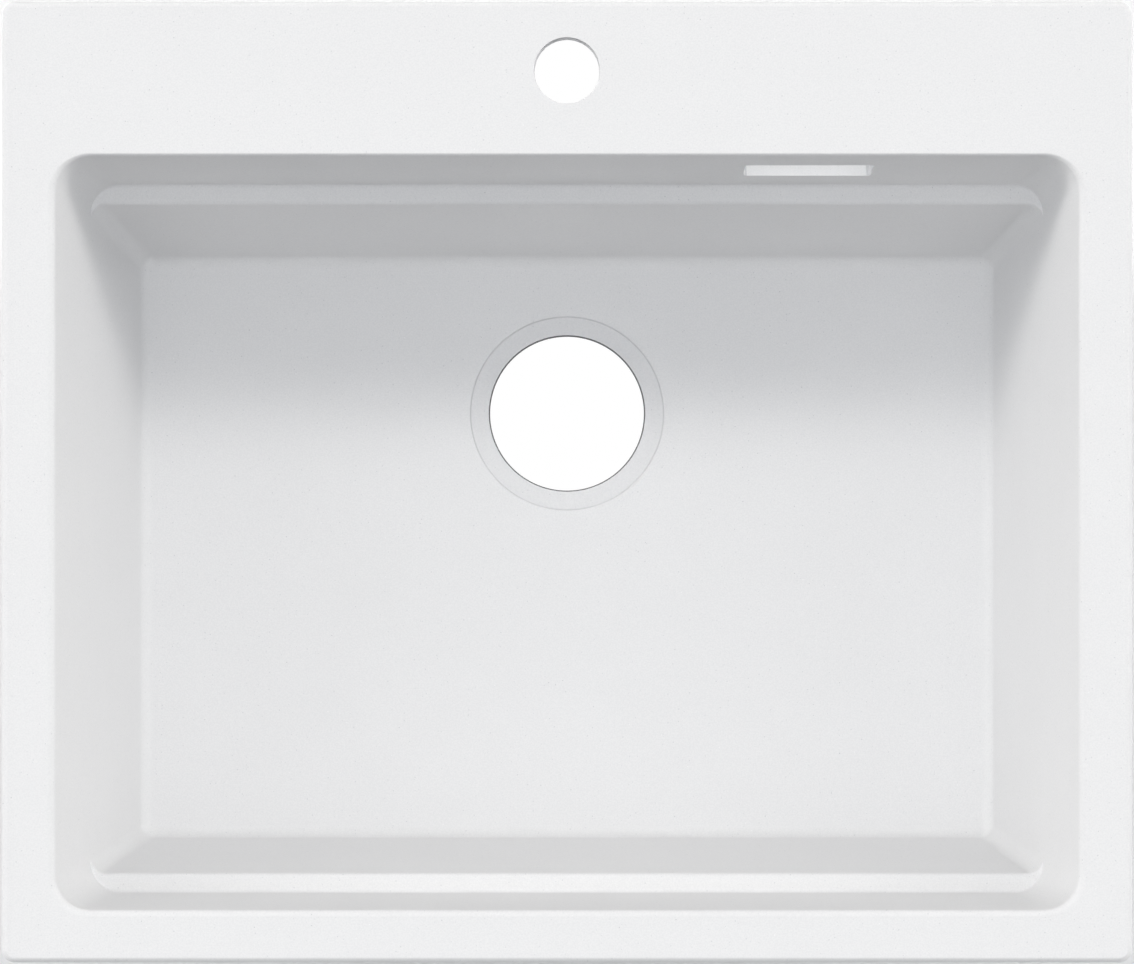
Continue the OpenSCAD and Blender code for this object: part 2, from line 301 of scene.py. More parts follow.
@dataclass(frozen=True)
class Contour:
    """A level outline with round corners, one of those that a moulding is lofted over, in millimetres.

    Attributes:
        half_x: Half its width.
        front: Its front edge's y.
        back: Its back edge's y.
        radius: Its corners' radius.
        z: Its height.
        ties: The y of an extra point near the front and back of both sides, where it takes one.
    """

    half_x: float
    front: float
    back: float
    radius: float
    z: float
    ties: tuple[float, float] | None = None

    def draw(self, piece: Piece, steps: int, fresh: Callable[[Point], bool]) -> None:
        """Adds this outline to a piece that is open in edit mode, as a closed line of edges.

        Args:
            piece: The piece that is open.
            steps: Segments in each corner. An outline with ties has one less, so that all have as many
                points.
            fresh: Whether a point is one of those of the outline that is being drawn.
        """
        middle = Vector((0.0, (self.front + self.back) / 2, self.z)) * MM
        bpy.ops.mesh.select_all(action="DESELECT")
        bpy.ops.mesh.primitive_plane_add(size=1.0, location=middle)
        bpy.ops.transform.resize(
            value=(2 * self.half_x * MM, (self.back - self.front) * MM, 1.0), center_override=middle)
        bpy.ops.mesh.bevel(
            offset_type="OFFSET", offset=self.radius * MM, affect="VERTICES", profile=0.5,
            segments=steps if self.ties is None else steps - 1)
        bpy.ops.mesh.delete(type="ONLY_FACE")
        if self.ties is None:
            return

        def on_side(v: Point) -> bool:
            """Whether a point of this outline lies on one of its straight sides."""
            return fresh(v) and abs(abs(v.co.x) - self.half_x * MM) < 1e-6

        Bench.pick(piece, "edges", lambda e: all(on_side(v) for v in e.verts))
        bpy.ops.mesh.subdivide(number_cuts=2)
        start, end = self.front + self.radius, self.back - self.radius
        for share, target in zip((1 / 3, 2 / 3), self.ties):
            now = start + (end - start) * share
            Bench.pick(piece, "verts", lambda v: on_side(v) and abs(v.co.y - now * MM) < 1e-5)
            bpy.ops.transform.translate(value=(0.0, (target - now) * MM, 0.0))


class Loft:
    """A closed skin over a list of outlines, as a moulding tool would be lofted."""

    RING = "ring"

    def __init__(self, name: str, contours: list[Contour], steps: int, hollow: bool = False) -> None:
        """Lofts the skin.

        Args:
            name: The piece's name.
            contours: The outlines in order, from one end of the skin to the other.
            steps: Segments in each of an outline's corners.
            hollow: Whether the last outline is joined to the first, in place of a face over each.
        """
        self.piece = Bench.blank(name)
        with Bench.editing(self.piece):
            bmesh.from_edit_mesh(self.piece.data).verts.layers.int.new(self.RING)
            for number, contour in enumerate(contours, start=1):
                contour.draw(self.piece, steps, self.is_fresh)
                self.mark(number)
            for number, (below, above) in enumerate(zip(contours, contours[1:]), start=1):
                self.bridge(number, number + 1, abs(below.z - above.z) < 0.001)
            if hollow:
                self.bridge(1, len(contours), abs(contours[0].z - contours[-1].z) < 0.001)
            else:
                for end in (1, len(contours)):
                    self.choose(end, end)
                    bpy.ops.mesh.edge_face_add()
        Bench.tidy(self.piece)

    def bridge(self, first: int, second: int, level: bool) -> None:
        """Joins two outlines with faces.

        Args:
            first: The number of one outline.
            second: The number of the other.
            level: Whether they lie at one height. The second is then lifted meanwhile, so that they are
                matched the right way round.
        """
        lift = MM if level else 0.0
        self.choose(second, second)
        bpy.ops.transform.translate(value=(0.0, 0.0, lift))
        self.choose(first, second)
        bpy.ops.mesh.bridge_edge_loops(type="SINGLE")
        self.choose(second, second)
        bpy.ops.transform.translate(value=(0.0, 0.0, -lift))

    def is_fresh(self, v: Point) -> bool:
        """Whether a point belongs to the outline that is being drawn."""
        ring = bmesh.from_edit_mesh(self.piece.data).verts.layers.int[self.RING]
        return v[ring] == 0

    def mark(self, number: int) -> None:
        """Numbers the points that were drawn last."""
        shape = bmesh.from_edit_mesh(self.piece.data)
        ring = shape.verts.layers.int[self.RING]
        for point in shape.verts:
            if point[ring] == 0:
                point[ring] = number

    def choose(self, first: int, second: int) -> None:
        """Selects the two outlines with these numbers."""
        shape = bmesh.from_edit_mesh(self.piece.data)
        ring = shape.verts.layers.int[self.RING]
        Bench.pick(self.piece, "verts", lambda v: v[ring] in (first, second))


@dataclass
class Moulding:
    """The sink itself: rim, tap deck, bowl, ledges and floor in one casting, in millimetres."""

    width: float = 600.0
    length: float = 510.0
    rim_t: float = 12.0
    rim_corner_r: float = 7.0
    rim_edge_r: float = 3.0
    rim_edge_flatness: float = 1.35
    rim_lower_edge_r: float = 1.0
    side_rim_w: float = 29.0
    front_rim_w: float = 28.0
    deck_w: float = 82.0
    bowl_depth: float = 200.0
    opening_corner_r: float = 18.0
    opening_edge_r: float = 3.0
    opening_edge_side_run: float = 3.8
    opening_side_ease: float = 0.8
    opening_edge_front_run: float = 3.8
    opening_edge_back_run: float = 1.6
    wall_t: float = 8.0
    floor_t: float = 12.0
    side_lean: float = 7.5
    lower_corner_r: float = 8.5
    floor_edge_r: float = 6.5
    base_edge_r: float = 11.0
    ledge_depth: float = 77.0
    back_ledge_w: float = 10.8
    front_ledge_w: float = 10.4
    ledge_corner_r: float = 16.0
    ledge_edge_r: float = 2.2
    back_upper_lean: float = 7.4
    back_lower_lean: float = 10.8
    front_upper_lean: float = 1.6
    front_lower_lean: float = 4.8
    drain_d: float = 90.0
    drain_draft: float = 0.55
    drain_from_back: float = 133.5
    seat_d: float = 112.0
    seat_h: float = 1.2
    seat_draft: float = 0.85
    tap_d: float = 35.0
    tap_draft: float = 0.3
    tap_from_back: float = 36.8
    slot_w: float = 69.0
    slot_h: float = 27.5
    slot_x: float = 130.0
    slot_depth: float = 39.3
    slot_corner_r: float = 2.0
    sill_slope: float = 55.0
    shoulder_h: float = 10.0
    root_fillet: float = 3.0
    boss_h: float = 16.0
    boss_r: float = 5.4
    rib_t: float = 7.0
    rib_h: float = 30.0
    tap_rib_x: float = 48.0
    tap_rib_end_h: float = 9.0
    rim_skin: float = 6.5
    insert_r: float = 3.5
    insert_l: float = 12.0
    tip_r: float = 3.0
    screw_edge: float = 15.8
    corner_steps: int = 12
    edge_steps: int = 8
    hole_sides: int = 160
    lip_r: float = 0.6
    seat_edge: float = 0.12
    drain_edge: float = 0.2
    drain_low_edge: float = 0.4
    tap_edge: float = 0.3
    tap_low_edge: float = 0.6
    margin: float = 1.0
    touch: float = 0.05
    smooth_angle: float = 32.0
    piece: Piece | None = field(default=None, init=False)

    @property
    def total_h(self) -> float:
        """Height of the top of the rim."""
        return self.bowl_depth + self.floor_t

    @property
    def rim_under_z(self) -> float:
        """Height of the rim's underside."""
        return self.total_h - self.rim_t

    @property
    def opening_front(self) -> float:
        """Where the bowl's opening begins."""
        return -self.length / 2 + self.front_rim_w

    @property
    def opening_back(self) -> float:
        """Where the bowl's opening ends."""
        return self.length / 2 - self.deck_w

    @property
    def drain_y(self) -> float:
        """The waste hole's axis."""
        return self.opening_back - self.drain_from_back

    @property
    def seat_z(self) -> float:
        """Height of the shallow seat round the waste hole."""
        return self.floor_t - self.seat_h

    @property
    def tap_y(self) -> float:
        """The tap hole's axis."""
        return self.length / 2 - self.tap_from_back

    @staticmethod
    def run(depth: float, lean: float) -> float:
        """How far a wall that leans by an angle moves in over a depth."""
        return depth * math.tan(math.radians(lean))

    def side_x(self, depth: float) -> float:
        """Half the bowl's width at a depth below the top of the rim."""
        return self.width / 2 - self.side_rim_w - self.run(depth, self.side_lean)

    def back_upper(self, depth: float) -> float:
        """The back wall above its ledge."""
        return self.opening_back - self.run(depth, self.back_upper_lean)

    def front_upper(self, depth: float) -> float:
        """The front wall above its ledge."""
        return self.opening_front + self.run(depth, self.front_upper_lean)

    def back_lower(self, depth: float) -> float:
        """The back wall below its ledge."""
        top = self.back_upper(self.ledge_depth) - self.back_ledge_w
        return top - self.run(depth - self.ledge_depth, self.back_lower_lean)

    def front_lower(self, depth: float) -> float:
        """The front wall below its ledge."""
        top = self.front_upper(self.ledge_depth) + self.front_ledge_w
        return top + self.run(depth - self.ledge_depth, self.front_lower_lean)

    def lower(self, depth: float, out: float, radius: float) -> Contour:
        """The bowl's outline below the ledges, moved out by some distance."""
        return Contour(self.side_x(depth) + out, self.front_lower(depth) - out,
                       self.back_lower(depth) + out, radius, self.total_h - depth)

    def upper(self, depth: float, out: float, radius: float) -> Contour:
        """The bowl's outline above the ledges, moved out by some distance."""
        return Contour(self.side_x(depth) + out, self.front_upper(depth) - out,
                       self.back_upper(depth) + out, radius, self.total_h - depth)

    def rim(self, depth: float, inset: float) -> Contour:
        """The rim's outline, moved in by some distance."""
        return Contour(self.width / 2 - inset, -self.length / 2 + inset, self.length / 2 - inset,
                       self.rim_corner_r - inset, self.total_h - depth)

    @staticmethod
    def turn(steps: int) -> list[tuple[float, float]]:
        """Sine and cosine at the steps of a quarter turn."""
        angles = [math.pi / 2 * i / steps for i in range(steps + 1)]
        return [(math.sin(a), max(math.cos(a), 0.0)) for a in angles]

    def inner_contours(self) -> list[Contour]:
        """Outlines from the floor up the lower walls and over the ledges to the opening's edge."""
        contours = []
        for s, c in self.turn(self.edge_steps):
            inset = self.floor_edge_r * (1 - s)
            contours.append(self.lower(self.bowl_depth - self.floor_edge_r * (1 - c), -inset,
                                       self.lower_corner_r - inset))
        small = self.edge_steps - 2
        for s, c in self.turn(small):
            back, depth = self.ledge_edge_r * (1 - c), self.ledge_depth + self.ledge_edge_r * (1 - s)
            contours.append(Contour(self.side_x(depth), self.front_lower(depth) - back,
                                    self.back_lower(depth) + back, self.lower_corner_r + back,
                                    self.total_h - depth))
        ties = (contours[-1].front + contours[-1].radius, contours[-1].back - contours[-1].radius)
        for s, c in self.turn(small):
            inset, depth = self.ledge_edge_r * (1 - s), self.ledge_depth - self.ledge_edge_r * (1 - c)
            contours.append(Contour(self.side_x(depth), self.front_upper(depth) + inset,
                                    self.back_upper(depth) - inset, self.ledge_corner_r - inset,
                                    self.total_h - depth, ties))
        for s, c in self.turn(self.edge_steps):
            depth = self.opening_edge_r * (1 - s)
            out = self.opening_edge_side_run * (1 - c) + self.opening_side_ease
            front = self.opening_edge_front_run * (1 - c)
            back = self.opening_edge_back_run * (1 - c)
            contours.append(Contour(self.side_x(depth) + out, self.front_upper(depth) - front,
                                    self.back_upper(depth) + back, self.opening_corner_r + out,
                                    self.total_h - depth, ties))
        return contours

    def outer_contours(self) -> list[Contour]:
        """Outlines from the rim's upper edge round its outside to the underside and down to the base."""
        contours = []
        flat = self.rim_edge_flatness
        for s, c in self.turn(self.edge_steps):
            contours.append(self.rim(self.rim_edge_r * (1 - c ** flat), self.rim_edge_r * (1 - s ** flat)))
        for s, c in self.turn(self.edge_steps // 2):
            contours.append(self.rim(self.rim_t - self.rim_lower_edge_r * (1 - s),
                                     self.rim_lower_edge_r * (1 - c)))
        for s, c in self.turn(self.edge_steps // 2):
            out = self.wall_t + self.root_fillet * (1 - s)
            contours.append(self.upper(self.rim_t + self.root_fillet * (1 - c), out,
                                       self.opening_corner_r + out))
        shoulder = self.ledge_depth + self.wall_t / 2
        contours.append(self.upper(shoulder, self.wall_t, self.ledge_corner_r + self.wall_t))
        contours.append(self.lower(shoulder + self.shoulder_h, self.wall_t,
                                   self.lower_corner_r + self.wall_t))
        for s, c in self.turn(self.edge_steps):
            inset = self.base_edge_r * (1 - c)
            contours.append(self.lower(self.total_h - self.base_edge_r * (1 - s), self.wall_t - inset,
                                       self.lower_corner_r + self.wall_t - inset))
        return contours

    def web_reach(self, side: Side) -> float:
        """Distance from a clamp screw's axis in to the middle of the bowl's wall."""
        depth = self.rim_t + self.boss_h
        if side is Side.BACK:
            return self.length / 2 - self.screw_edge - self.back_upper(depth) - self.wall_t / 2
        if side is Side.FRONT:
            return self.length / 2 - self.screw_edge + self.front_upper(depth) - self.wall_t / 2
        return self.width / 2 - self.screw_edge - self.side_x(depth) - self.wall_t / 2

    def rib(self, name: str, reach: float, root_h: float, end_h: float) -> Piece:
        """Models an upright rib along X from -reach to 0 that hangs from the rim.

        Args:
            name: The rib's name.
            reach: Its length.
            root_h: Its height at the bowl's wall.
            end_h: Its height at its free end.

        Returns:
            The rib, with its lower edges rounded.
        """
        z = self.rim_under_z
        rib = Bench.block(name, (-reach, -self.rib_t / 2, z - end_h),
                          (0.0, self.rib_t / 2, z + self.lip_r))
        Bench.slide_points(rib, lambda v: v.co.x < -reach * MM / 2 and v.co.z < (z - end_h / 2) * MM,
                           (0.0, 0.0, end_h - root_h))
        Bench.round_edges(rib, lambda e: all(v.co.z < (z - self.lip_r) * MM for v in e.verts)
                          and abs(e.verts[0].co.x - e.verts[1].co.x) > self.lip_r * MM, self.lip_r * 2, 3)
        return rib

    def hangers(self) -> Piece:
        """Models the clamp bosses with their webs, and the two ribs beside the tap hole."""
        parts = []
        z = self.rim_under_z
        for spot in SPOTS:
            boss = Bench.cylinder("boss", self.boss_r, z - self.boss_h, z + self.lip_r, 40)
            Bench.round_edges(
                boss, lambda e: all(v.co.z < (z - self.boss_h / 2) * MM for v in e.verts), self.lip_r, 3)
            root_h = self.rib_h if spot.side is Side.BACK else self.boss_h
            web = self.rib("web", self.web_reach(spot.side), root_h, self.boss_h - self.lip_r)
            for part in (boss, web):
                part.data.transform(spot.matrix())
                parts.append(part)
        for side in (-1, 1):
            rib = self.rib("tap_rib", self.web_reach(Side.BACK), self.rib_h, self.tap_rib_end_h)
            rib.data.transform(Spot("tap", Side.BACK, side * self.tap_rib_x,
                                    self.length / 2 - self.screw_edge).matrix())
            parts.append(rib)
        return Bench.join("hangers", parts)

    def boss_holes(self) -> Piece:
        """Models the stepped blind holes for the inserts and the screws' tips."""
        z = self.rim_under_z - self.boss_h
        drill = Bench.cylinder("drill", self.insert_r, z - self.insert_l, z + self.insert_l, 32)
        with Bench.editing(drill, "FACE"):
            Bench.pick(drill, "faces", lambda f: f.normal.z > 0.9)
            bpy.ops.mesh.inset(thickness=(self.insert_r - self.tip_r) * MM)
            Bench.extrude(self.boss_h + self.rim_t - self.rim_skin - self.insert_l)
        holes = [Bench.copy("hole", drill, spot.matrix()) for spot in SPOTS]
        bpy.data.objects.remove(drill)
        return Bench.join("holes", holes)

    def slot_tool(self) -> Piece:
        """Models the overflow slot's cutter, a block with round corners whose sill falls away outwards."""
        sill_depth = self.slot_depth + self.slot_h / 2
        y, z = self.back_upper(sill_depth), self.total_h - sill_depth
        inwards, outwards = self.wall_t / 4, 2 * self.wall_t
        tool = Bench.block("slot", (self.slot_x - self.slot_w / 2, y - inwards, z),
                           (self.slot_x + self.slot_w / 2, y + outwards, z + self.slot_h))
        for end, run in ((-1, inwards), (1, -outwards)):
            Bench.slide_points(
                tool, lambda v: (v.co.y - y * MM) * end > 0 and v.co.z < (z + self.slot_h / 2) * MM,
                (0.0, 0.0, self.run(run, self.sill_slope)))
        Bench.round_edges(tool, lambda e: abs(e.verts[0].co.y - e.verts[1].co.y) > self.wall_t * MM,
                          self.slot_corner_r, 6)
        return tool

    def soften_ring(self, radius: float, y: float, z: float, edge: float, steps: int) -> None:
        """Rounds a hole's rim.

        Args:
            radius: The hole's radius.
            y: The place of its axis.
            z: The height of the rim.
            edge: The rounding's radius.
            steps: Segments in the rounding.
        """
        def on_rim(v: Point) -> bool:
            """Whether a point lies on the rim."""
            return (abs(math.hypot(v.co.x, v.co.y - y * MM) - radius * MM) < 2e-5
                    and abs(v.co.z - z * MM) < 1e-5)

        Bench.round_edges(self.piece, lambda e: all(on_rim(v) for v in e.verts), edge, steps)

    def hole_tool(self, radius: float, draft: float, z0: float, z1: float,
                  y: float) -> Piece:
        """Models a round hole's cutter, which reaches a little past both its ends.

        Args:
            radius: The hole's radius at its upper end.
            draft: How much narrower it is at its lower end.
            z0: The height of its lower end.
            z1: The height of its upper end.
            y: The place of its axis.

        Returns:
            The cutter.
        """
        spread = draft * self.margin / (z1 - z0)
        return Bench.cone("hole", radius - draft - spread, radius + spread, z0 - self.margin,
                          z1 + self.margin, self.hole_sides, y)

    def build(self) -> None:
        """Lofts the skin, adds the bosses and ribs, and cuts the holes."""
        skin = self.inner_contours() + self.outer_contours()
        self.piece = Loft("sink_moulding", skin, self.corner_steps).piece
        Bench.combine(self.piece, self.hangers(), Mix.ADD, overlapping=True)
        seat_r, drain_r, tap_r = self.seat_d / 2, self.drain_d / 2, self.tap_d / 2
        spread = self.seat_draft * self.margin / self.seat_h
        Bench.combine(self.piece, self.boss_holes())
        Bench.combine(self.piece, self.slot_tool())
        Bench.combine(self.piece, Bench.cone("seat", seat_r - self.seat_draft, seat_r + spread, self.seat_z,
                                             self.floor_t + self.margin, self.hole_sides, self.drain_y))
        for tool in (self.hole_tool(drain_r, self.drain_draft, 0.0, self.seat_z, self.drain_y),
                     self.hole_tool(tap_r, self.tap_draft, self.rim_under_z, self.total_h, self.tap_y)):
            Bench.combine(self.piece, tool)
        self.soften_ring(seat_r, self.drain_y, self.floor_t, self.seat_edge, 1)
        self.soften_ring(drain_r, self.drain_y, self.seat_z, self.drain_edge, 2)
        self.soften_ring(drain_r - self.drain_draft, self.drain_y, 0.0, self.drain_low_edge, 2)
        self.soften_ring(tap_r, self.tap_y, self.total_h, self.tap_edge, 3)
        self.soften_ring(tap_r - self.tap_draft, self.tap_y, self.rim_under_z, self.tap_low_edge, 2)
        Bench.smooth(self.piece, self.smooth_angle)

    def outside(self, face: Face) -> bool:
        """Whether a face belongs to the rougher back of the moulding, which was cast against the core."""
        x, y, z = (c / MM for c in face.center)
        by_drain = self.near_axis(face, self.drain_y, self.seat_d / 2 + self.margin) and z > self.margin
        if z > self.rim_under_z + self.touch or by_drain:
            return False
        if z < self.touch:
            return True
        depth, wall = self.total_h - z, self.wall_t / 2
        if depth < self.ledge_depth:
            front, back = self.front_upper(depth) - wall, self.back_upper(depth) + wall
        else:
            front, back = self.front_lower(depth) - wall, self.back_lower(depth) + wall
        if z < self.floor_t / 2:
            return face.normal.z < 0.2
        return abs(x) > self.side_x(depth) + wall or y < front or y > back

    @staticmethod
    def near_axis(face: Face, y: float, radius: float) -> bool:
        """Whether a face's middle lies within a radius of an upright axis at y."""
        return math.hypot(face.center.x, face.center.y - y * MM) < radius * MM

    def region(self, face: Face) -> int:
        """Says which finish a face takes.

        Args:
            face: A face of the moulding.

        Returns:
            0 for the front, 1 the back, 2 the waste hole, 3 the tap hole, 4 the seat and 5 its shoulder.
        """
        z = face.center.z / MM
        upright = abs(face.normal.z) < 0.5
        drain_r, tap_r = self.drain_d / 2 + self.touch, self.tap_d / 2 + self.touch
        if upright and z < self.seat_z and self.near_axis(face, self.drain_y, drain_r):
            return 2
        if upright and z > self.rim_under_z and self.near_axis(face, self.tap_y, tap_r):
            return 3
        in_seat = self.seat_z - self.margin / 2 < z < self.floor_t - 0.15
        if in_seat and self.near_axis(face, self.drain_y, self.seat_d / 2):
            return 4 if face.normal.z > 0.9 or z < self.seat_z else 5
        return int(self.outside(face))

    def dress(self, *finishes: Material) -> None:
        """Gives the moulding its satin face, its rougher back, and painted shade in the holes and round the
        seat.

        Args:
            *finishes: Those of the front, the back, the waste hole's wall, the tap hole's wall, the seat and
                the shoulder round the seat.
        """
        Bench.wear(self.piece, *finishes)
        for face in self.piece.data.polygons:
            face.material_index = self.region(face)
        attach(self.piece, "sink")
        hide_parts("sink_body")


@dataclass
class RimSeal:
    """The closed-cell foam strip under the rim, in millimetres."""

    inset: float = 2.0
    width: float = 7.5
    thickness: float = 3.0
    corner_r: float = 5.0
    corner_tightening: float = 0.6
    least_corner_r: float = 1.0
    edge: float = 0.5
    piece: Piece | None = field(default=None, init=False)

    def build(self, sink: Moulding) -> None:
        """Lofts the strip's section round the rim.

        Args:
            sink: The moulding that it is stuck to.
        """
        top, under = sink.rim_under_z, sink.rim_under_z - self.thickness
        contours = []
        for inset, z in ((self.edge, top), (0.0, top - self.edge), (0.0, under + self.edge),
                         (self.edge, under), (self.width - self.edge, under),
                         (self.width, under + self.edge), (self.width, top - self.edge),
                         (self.width - self.edge, top)):
            grow = self.inset + inset
            contours.append(Contour(
                sink.width / 2 - grow, -sink.length / 2 + grow, sink.length / 2 - grow,
                max(self.corner_r - inset * self.corner_tightening, self.least_corner_r), z))
        self.piece = Loft("foam_seal", contours, 8, hollow=True).piece
        Bench.smooth(self.piece, 50.0)

    def dress(self, foam: Material) -> None:
        """Gives the strip its foam."""
        Bench.wear(self.piece, foam)
        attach(self.piece, "sink")
        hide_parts("rim_seal")


@dataclass
class InsertSet:
    """The eight flanged brass inserts in the bosses, in millimetres.

    ``bands`` are the barrel's steps from the flange up: how far each one rises, and whether the barrel then
    narrows by a groove's depth (-1), widens by it (1) or stays (0).
    """

    mouth_z: float = 184.0
    barrel_r: float = 3.48
    bore_r: float = 2.58
    length: float = 12.0
    flange_r: float = 4.6
    flange_t: float = 1.0
    flange_edge: float = 0.2
    bore_edge: float = 0.3
    groove_depth: float = 0.35
    bands: tuple[tuple[float, int], ...] = (
        (2.5, 0), (0.3, -1), (2.2, 0), (0.3, 1), (2.4, 0), (0.3, -1), (2.2, 0), (0.3, 1), (1.2, 0), (0.3, -1))
    piece: Piece | None = field(default=None, init=False)

    def build(self) -> None:
        """Turns one insert from a bar and copies it to the eight bosses."""
        low = self.mouth_z - self.flange_t
        turned = Bench.cylinder("insert", self.flange_r, low, self.mouth_z, 40)
        with Bench.editing(turned, "FACE"):
            Bench.pick(turned, "faces", lambda f: f.normal.z > 0.9)
            bpy.ops.mesh.inset(thickness=(self.flange_r - self.barrel_r) * MM)
            for rise, change in self.bands:
                Bench.extrude(rise)
                if change:
                    radius = self.barrel_r if change < 0 else self.barrel_r - self.groove_depth
                    grow = (radius + change * self.groove_depth) / radius
                    bpy.ops.transform.resize(value=(grow, grow, 1.0))

        def at_mouth(v: Point) -> bool:
            """Whether a point lies on the flange's lower face."""
            return abs(v.co.z - low * MM) < 1e-6

        Bench.round_edges(turned, lambda e: all(
            at_mouth(v) and v.co.xy.length > self.barrel_r * MM for v in e.verts), self.flange_edge, 2)
        Bench.combine(turned, Bench.cylinder("bore", self.bore_r, low - 1.0,
                                             self.mouth_z + self.length + 1.0, 40))
        Bench.round_edges(turned, lambda e: all(
            at_mouth(v) and v.co.xy.length < (self.bore_r + 0.05) * MM for v in e.verts), self.bore_edge, 1)
        Bench.smooth(turned, 35.0)
        copies = [Bench.copy("insert", turned, spot.matrix()) for spot in SPOTS]
        bpy.data.objects.remove(turned)
        self.piece = Bench.join("brass_inserts", copies)

    def dress(self, brass: Material) -> None:
        """Gives the inserts their turned brass."""
        Bench.wear(self.piece, brass)
        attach(self.piece, "sink")
        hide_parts("threaded_inserts")


@dataclass
class ClampScrew:
    """An M5 hexagon screw with a driver slot and a rolled thread, in millimetres."""

    head_top_z: float = 147.2
    thread_r: float = 2.5
    core_r: float = 2.07
    pitch: float = 0.8
    length: float = 45.0
    flats: float = 8.0
    head_h: float = 3.5
    driver_slot_w: float = 1.2
    driver_slot_h: float = 1.6
    flank_share: float = 0.38
    flat_share: float = 0.12
    turn_steps: int = 20
    spare_turns: int = 4
    sunk: float = 0.4
    tip_chamfer: float = 0.8
    tip_shares: tuple[float, ...] = (1.0, 0.67, 0.34)
    tip_taper: float = 0.93
    face_inset: float = 0.15
    chamfer_h: float = 0.6
    chamfer_spread: float = 1.16

    def thread(self) -> Piece:
        """Winds the thread's profile up the shank and trims both its ends."""
        shank = Bench.blank("thread")
        start = self.head_top_z - 2 * self.pitch
        with Bench.editing(shank):
            bpy.ops.mesh.primitive_plane_add(size=1.0, location=(0.0, 0.0, 0.0))
            bpy.ops.mesh.delete(type="ONLY_FACE")
            Bench.pick(shank, "verts", lambda v: v.co.x < 0 and v.co.y > 0)
            bpy.ops.mesh.delete(type="VERT")
            shape = bmesh.from_edit_mesh(shank.data)
            shape.verts.ensure_lookup_table()
            ends = sorted(shape.verts, key=lambda v: (v.co.y, v.co.x))
            crest = self.flank_share + self.flat_share
            spots = ((self.core_r, 0.0), (self.thread_r, self.flank_share), (self.thread_r, crest))
            for point, (radius, share) in zip(ends, spots):
                point.co = Vector((radius, 0.0, start + share * self.pitch)) * MM
            bmesh.update_edit_mesh(shank.data)
            before_crest = (start + (self.flank_share + self.flat_share / 2) * self.pitch) * MM
            Bench.pick(shank, "verts", lambda v: v.co.z > before_crest)
            for x, rise in ((self.core_r - self.thread_r, self.flank_share), (0.0, self.flat_share)):
                step = Vector((x, 0.0, rise * self.pitch)) * MM
                bpy.ops.mesh.extrude_vertices_move(TRANSFORM_OT_translate={"value": step})
        turns = math.ceil(self.length / self.pitch) + self.spare_turns
        Bench.apply(shank, "SCREW", axis="Z", angle=2 * math.pi, screw_offset=self.pitch * MM,
                    iterations=turns, steps=self.turn_steps, render_steps=self.turn_steps,
                    use_merge_vertices=True, merge_threshold=1e-7, use_normal_calculate=True)
        tip = self.head_top_z + self.length
        for z, up in ((self.head_top_z - self.sunk, False), (tip, True)):
            with Bench.editing(shank):
                bpy.ops.mesh.select_all(action="SELECT")
                bpy.ops.mesh.bisect(plane_co=(0.0, 0.0, z * MM), plane_no=(0.0, 0.0, 1.0), use_fill=True,
                                    clear_outer=up, clear_inner=not up)
        Bench.tidy(shank, 0.0002)
        for share in self.tip_shares:
            low = (tip - self.tip_chamfer * share) * MM
            Bench.spread_points(shank, lambda v: v.co.z > low, self.tip_taper, tip)
        return shank

    def head(self) -> Piece:
        """Models the hexagon head with its chamfered corners and driver slot."""
        low, high = self.head_top_z - self.head_h, self.head_top_z
        corner_r = self.flats / 2 / math.cos(math.radians(30))
        head = Bench.cylinder("head", corner_r, low, high, 6)
        with Bench.editing(head):
            bpy.ops.mesh.select_all(action="SELECT")
            bpy.ops.transform.rotate(value=math.radians(-30), orient_axis="Z",
                                     center_override=(0.0, 0.0, 0.0))
        cone = Bench.cylinder("cone", corner_r, low, high + 0.2, 48)
        with Bench.editing(cone, "FACE"):
            Bench.pick(cone, "faces", lambda f: f.normal.z < -0.9)
            bpy.ops.mesh.inset(thickness=0.01 * MM)
        split = low + self.chamfer_h
        Bench.spread_points(cone, lambda v: v.co.z < (low + self.chamfer_h / 2) * MM,
                            (self.flats / 2 - self.face_inset) / corner_r, low)
        with Bench.editing(cone, "EDGE"):
            bpy.ops.mesh.select_all(action="SELECT")
            bpy.ops.mesh.bisect(plane_co=(0.0, 0.0, split * MM), plane_no=(0.0, 0.0, 1.0))
            Bench.pick(cone, "verts", lambda v: v.co.z > (split - self.chamfer_h / 2) * MM)
            bpy.ops.transform.resize(value=(self.chamfer_spread, self.chamfer_spread, 1.0),
                                     center_override=(0.0, 0.0, high * MM))
        Bench.combine(head, cone, Mix.COMMON)
        half = self.driver_slot_w / 2
        Bench.combine(head, Bench.block("driver", (-self.flats, -half, low - 1.0),
                                        (self.flats, half, low + self.driver_slot_h)))
        return head

    def build(self) -> Piece:
        """Joins the thread to the head."""
        screw = self.head()
        Bench.combine(screw, self.thread(), Mix.ADD)
        Bench.smooth(screw, 32.0)
        return screw


@dataclass
class ClampWasher:
    """The flat washer that a screw's head carries, in millimetres."""

    low_z: float = 147.5
    radius: float = 5.0
    bore_r: float = 2.58
    thickness: float = 1.2
    edge: float = 0.18

    def build(self) -> Piece:
        """Punches the washer from a disc and breaks its edges."""
        high = self.low_z + self.thickness
        washer = Bench.cylinder("washer", self.radius, self.low_z, high, 48)
        with Bench.editing(washer, "FACE"):
            Bench.pick(washer, "faces", lambda f: abs(f.normal.z) > 0.9)
            bpy.ops.mesh.inset(thickness=(self.radius - self.bore_r) * MM)
            bpy.ops.mesh.bridge_edge_loops()
        Bench.round_edges(washer, lambda e: e.calc_face_angle(0.0) > 1.0, self.edge, 2)
        Bench.tidy(washer)
        Bench.smooth(washer, 35.0)
        return washer


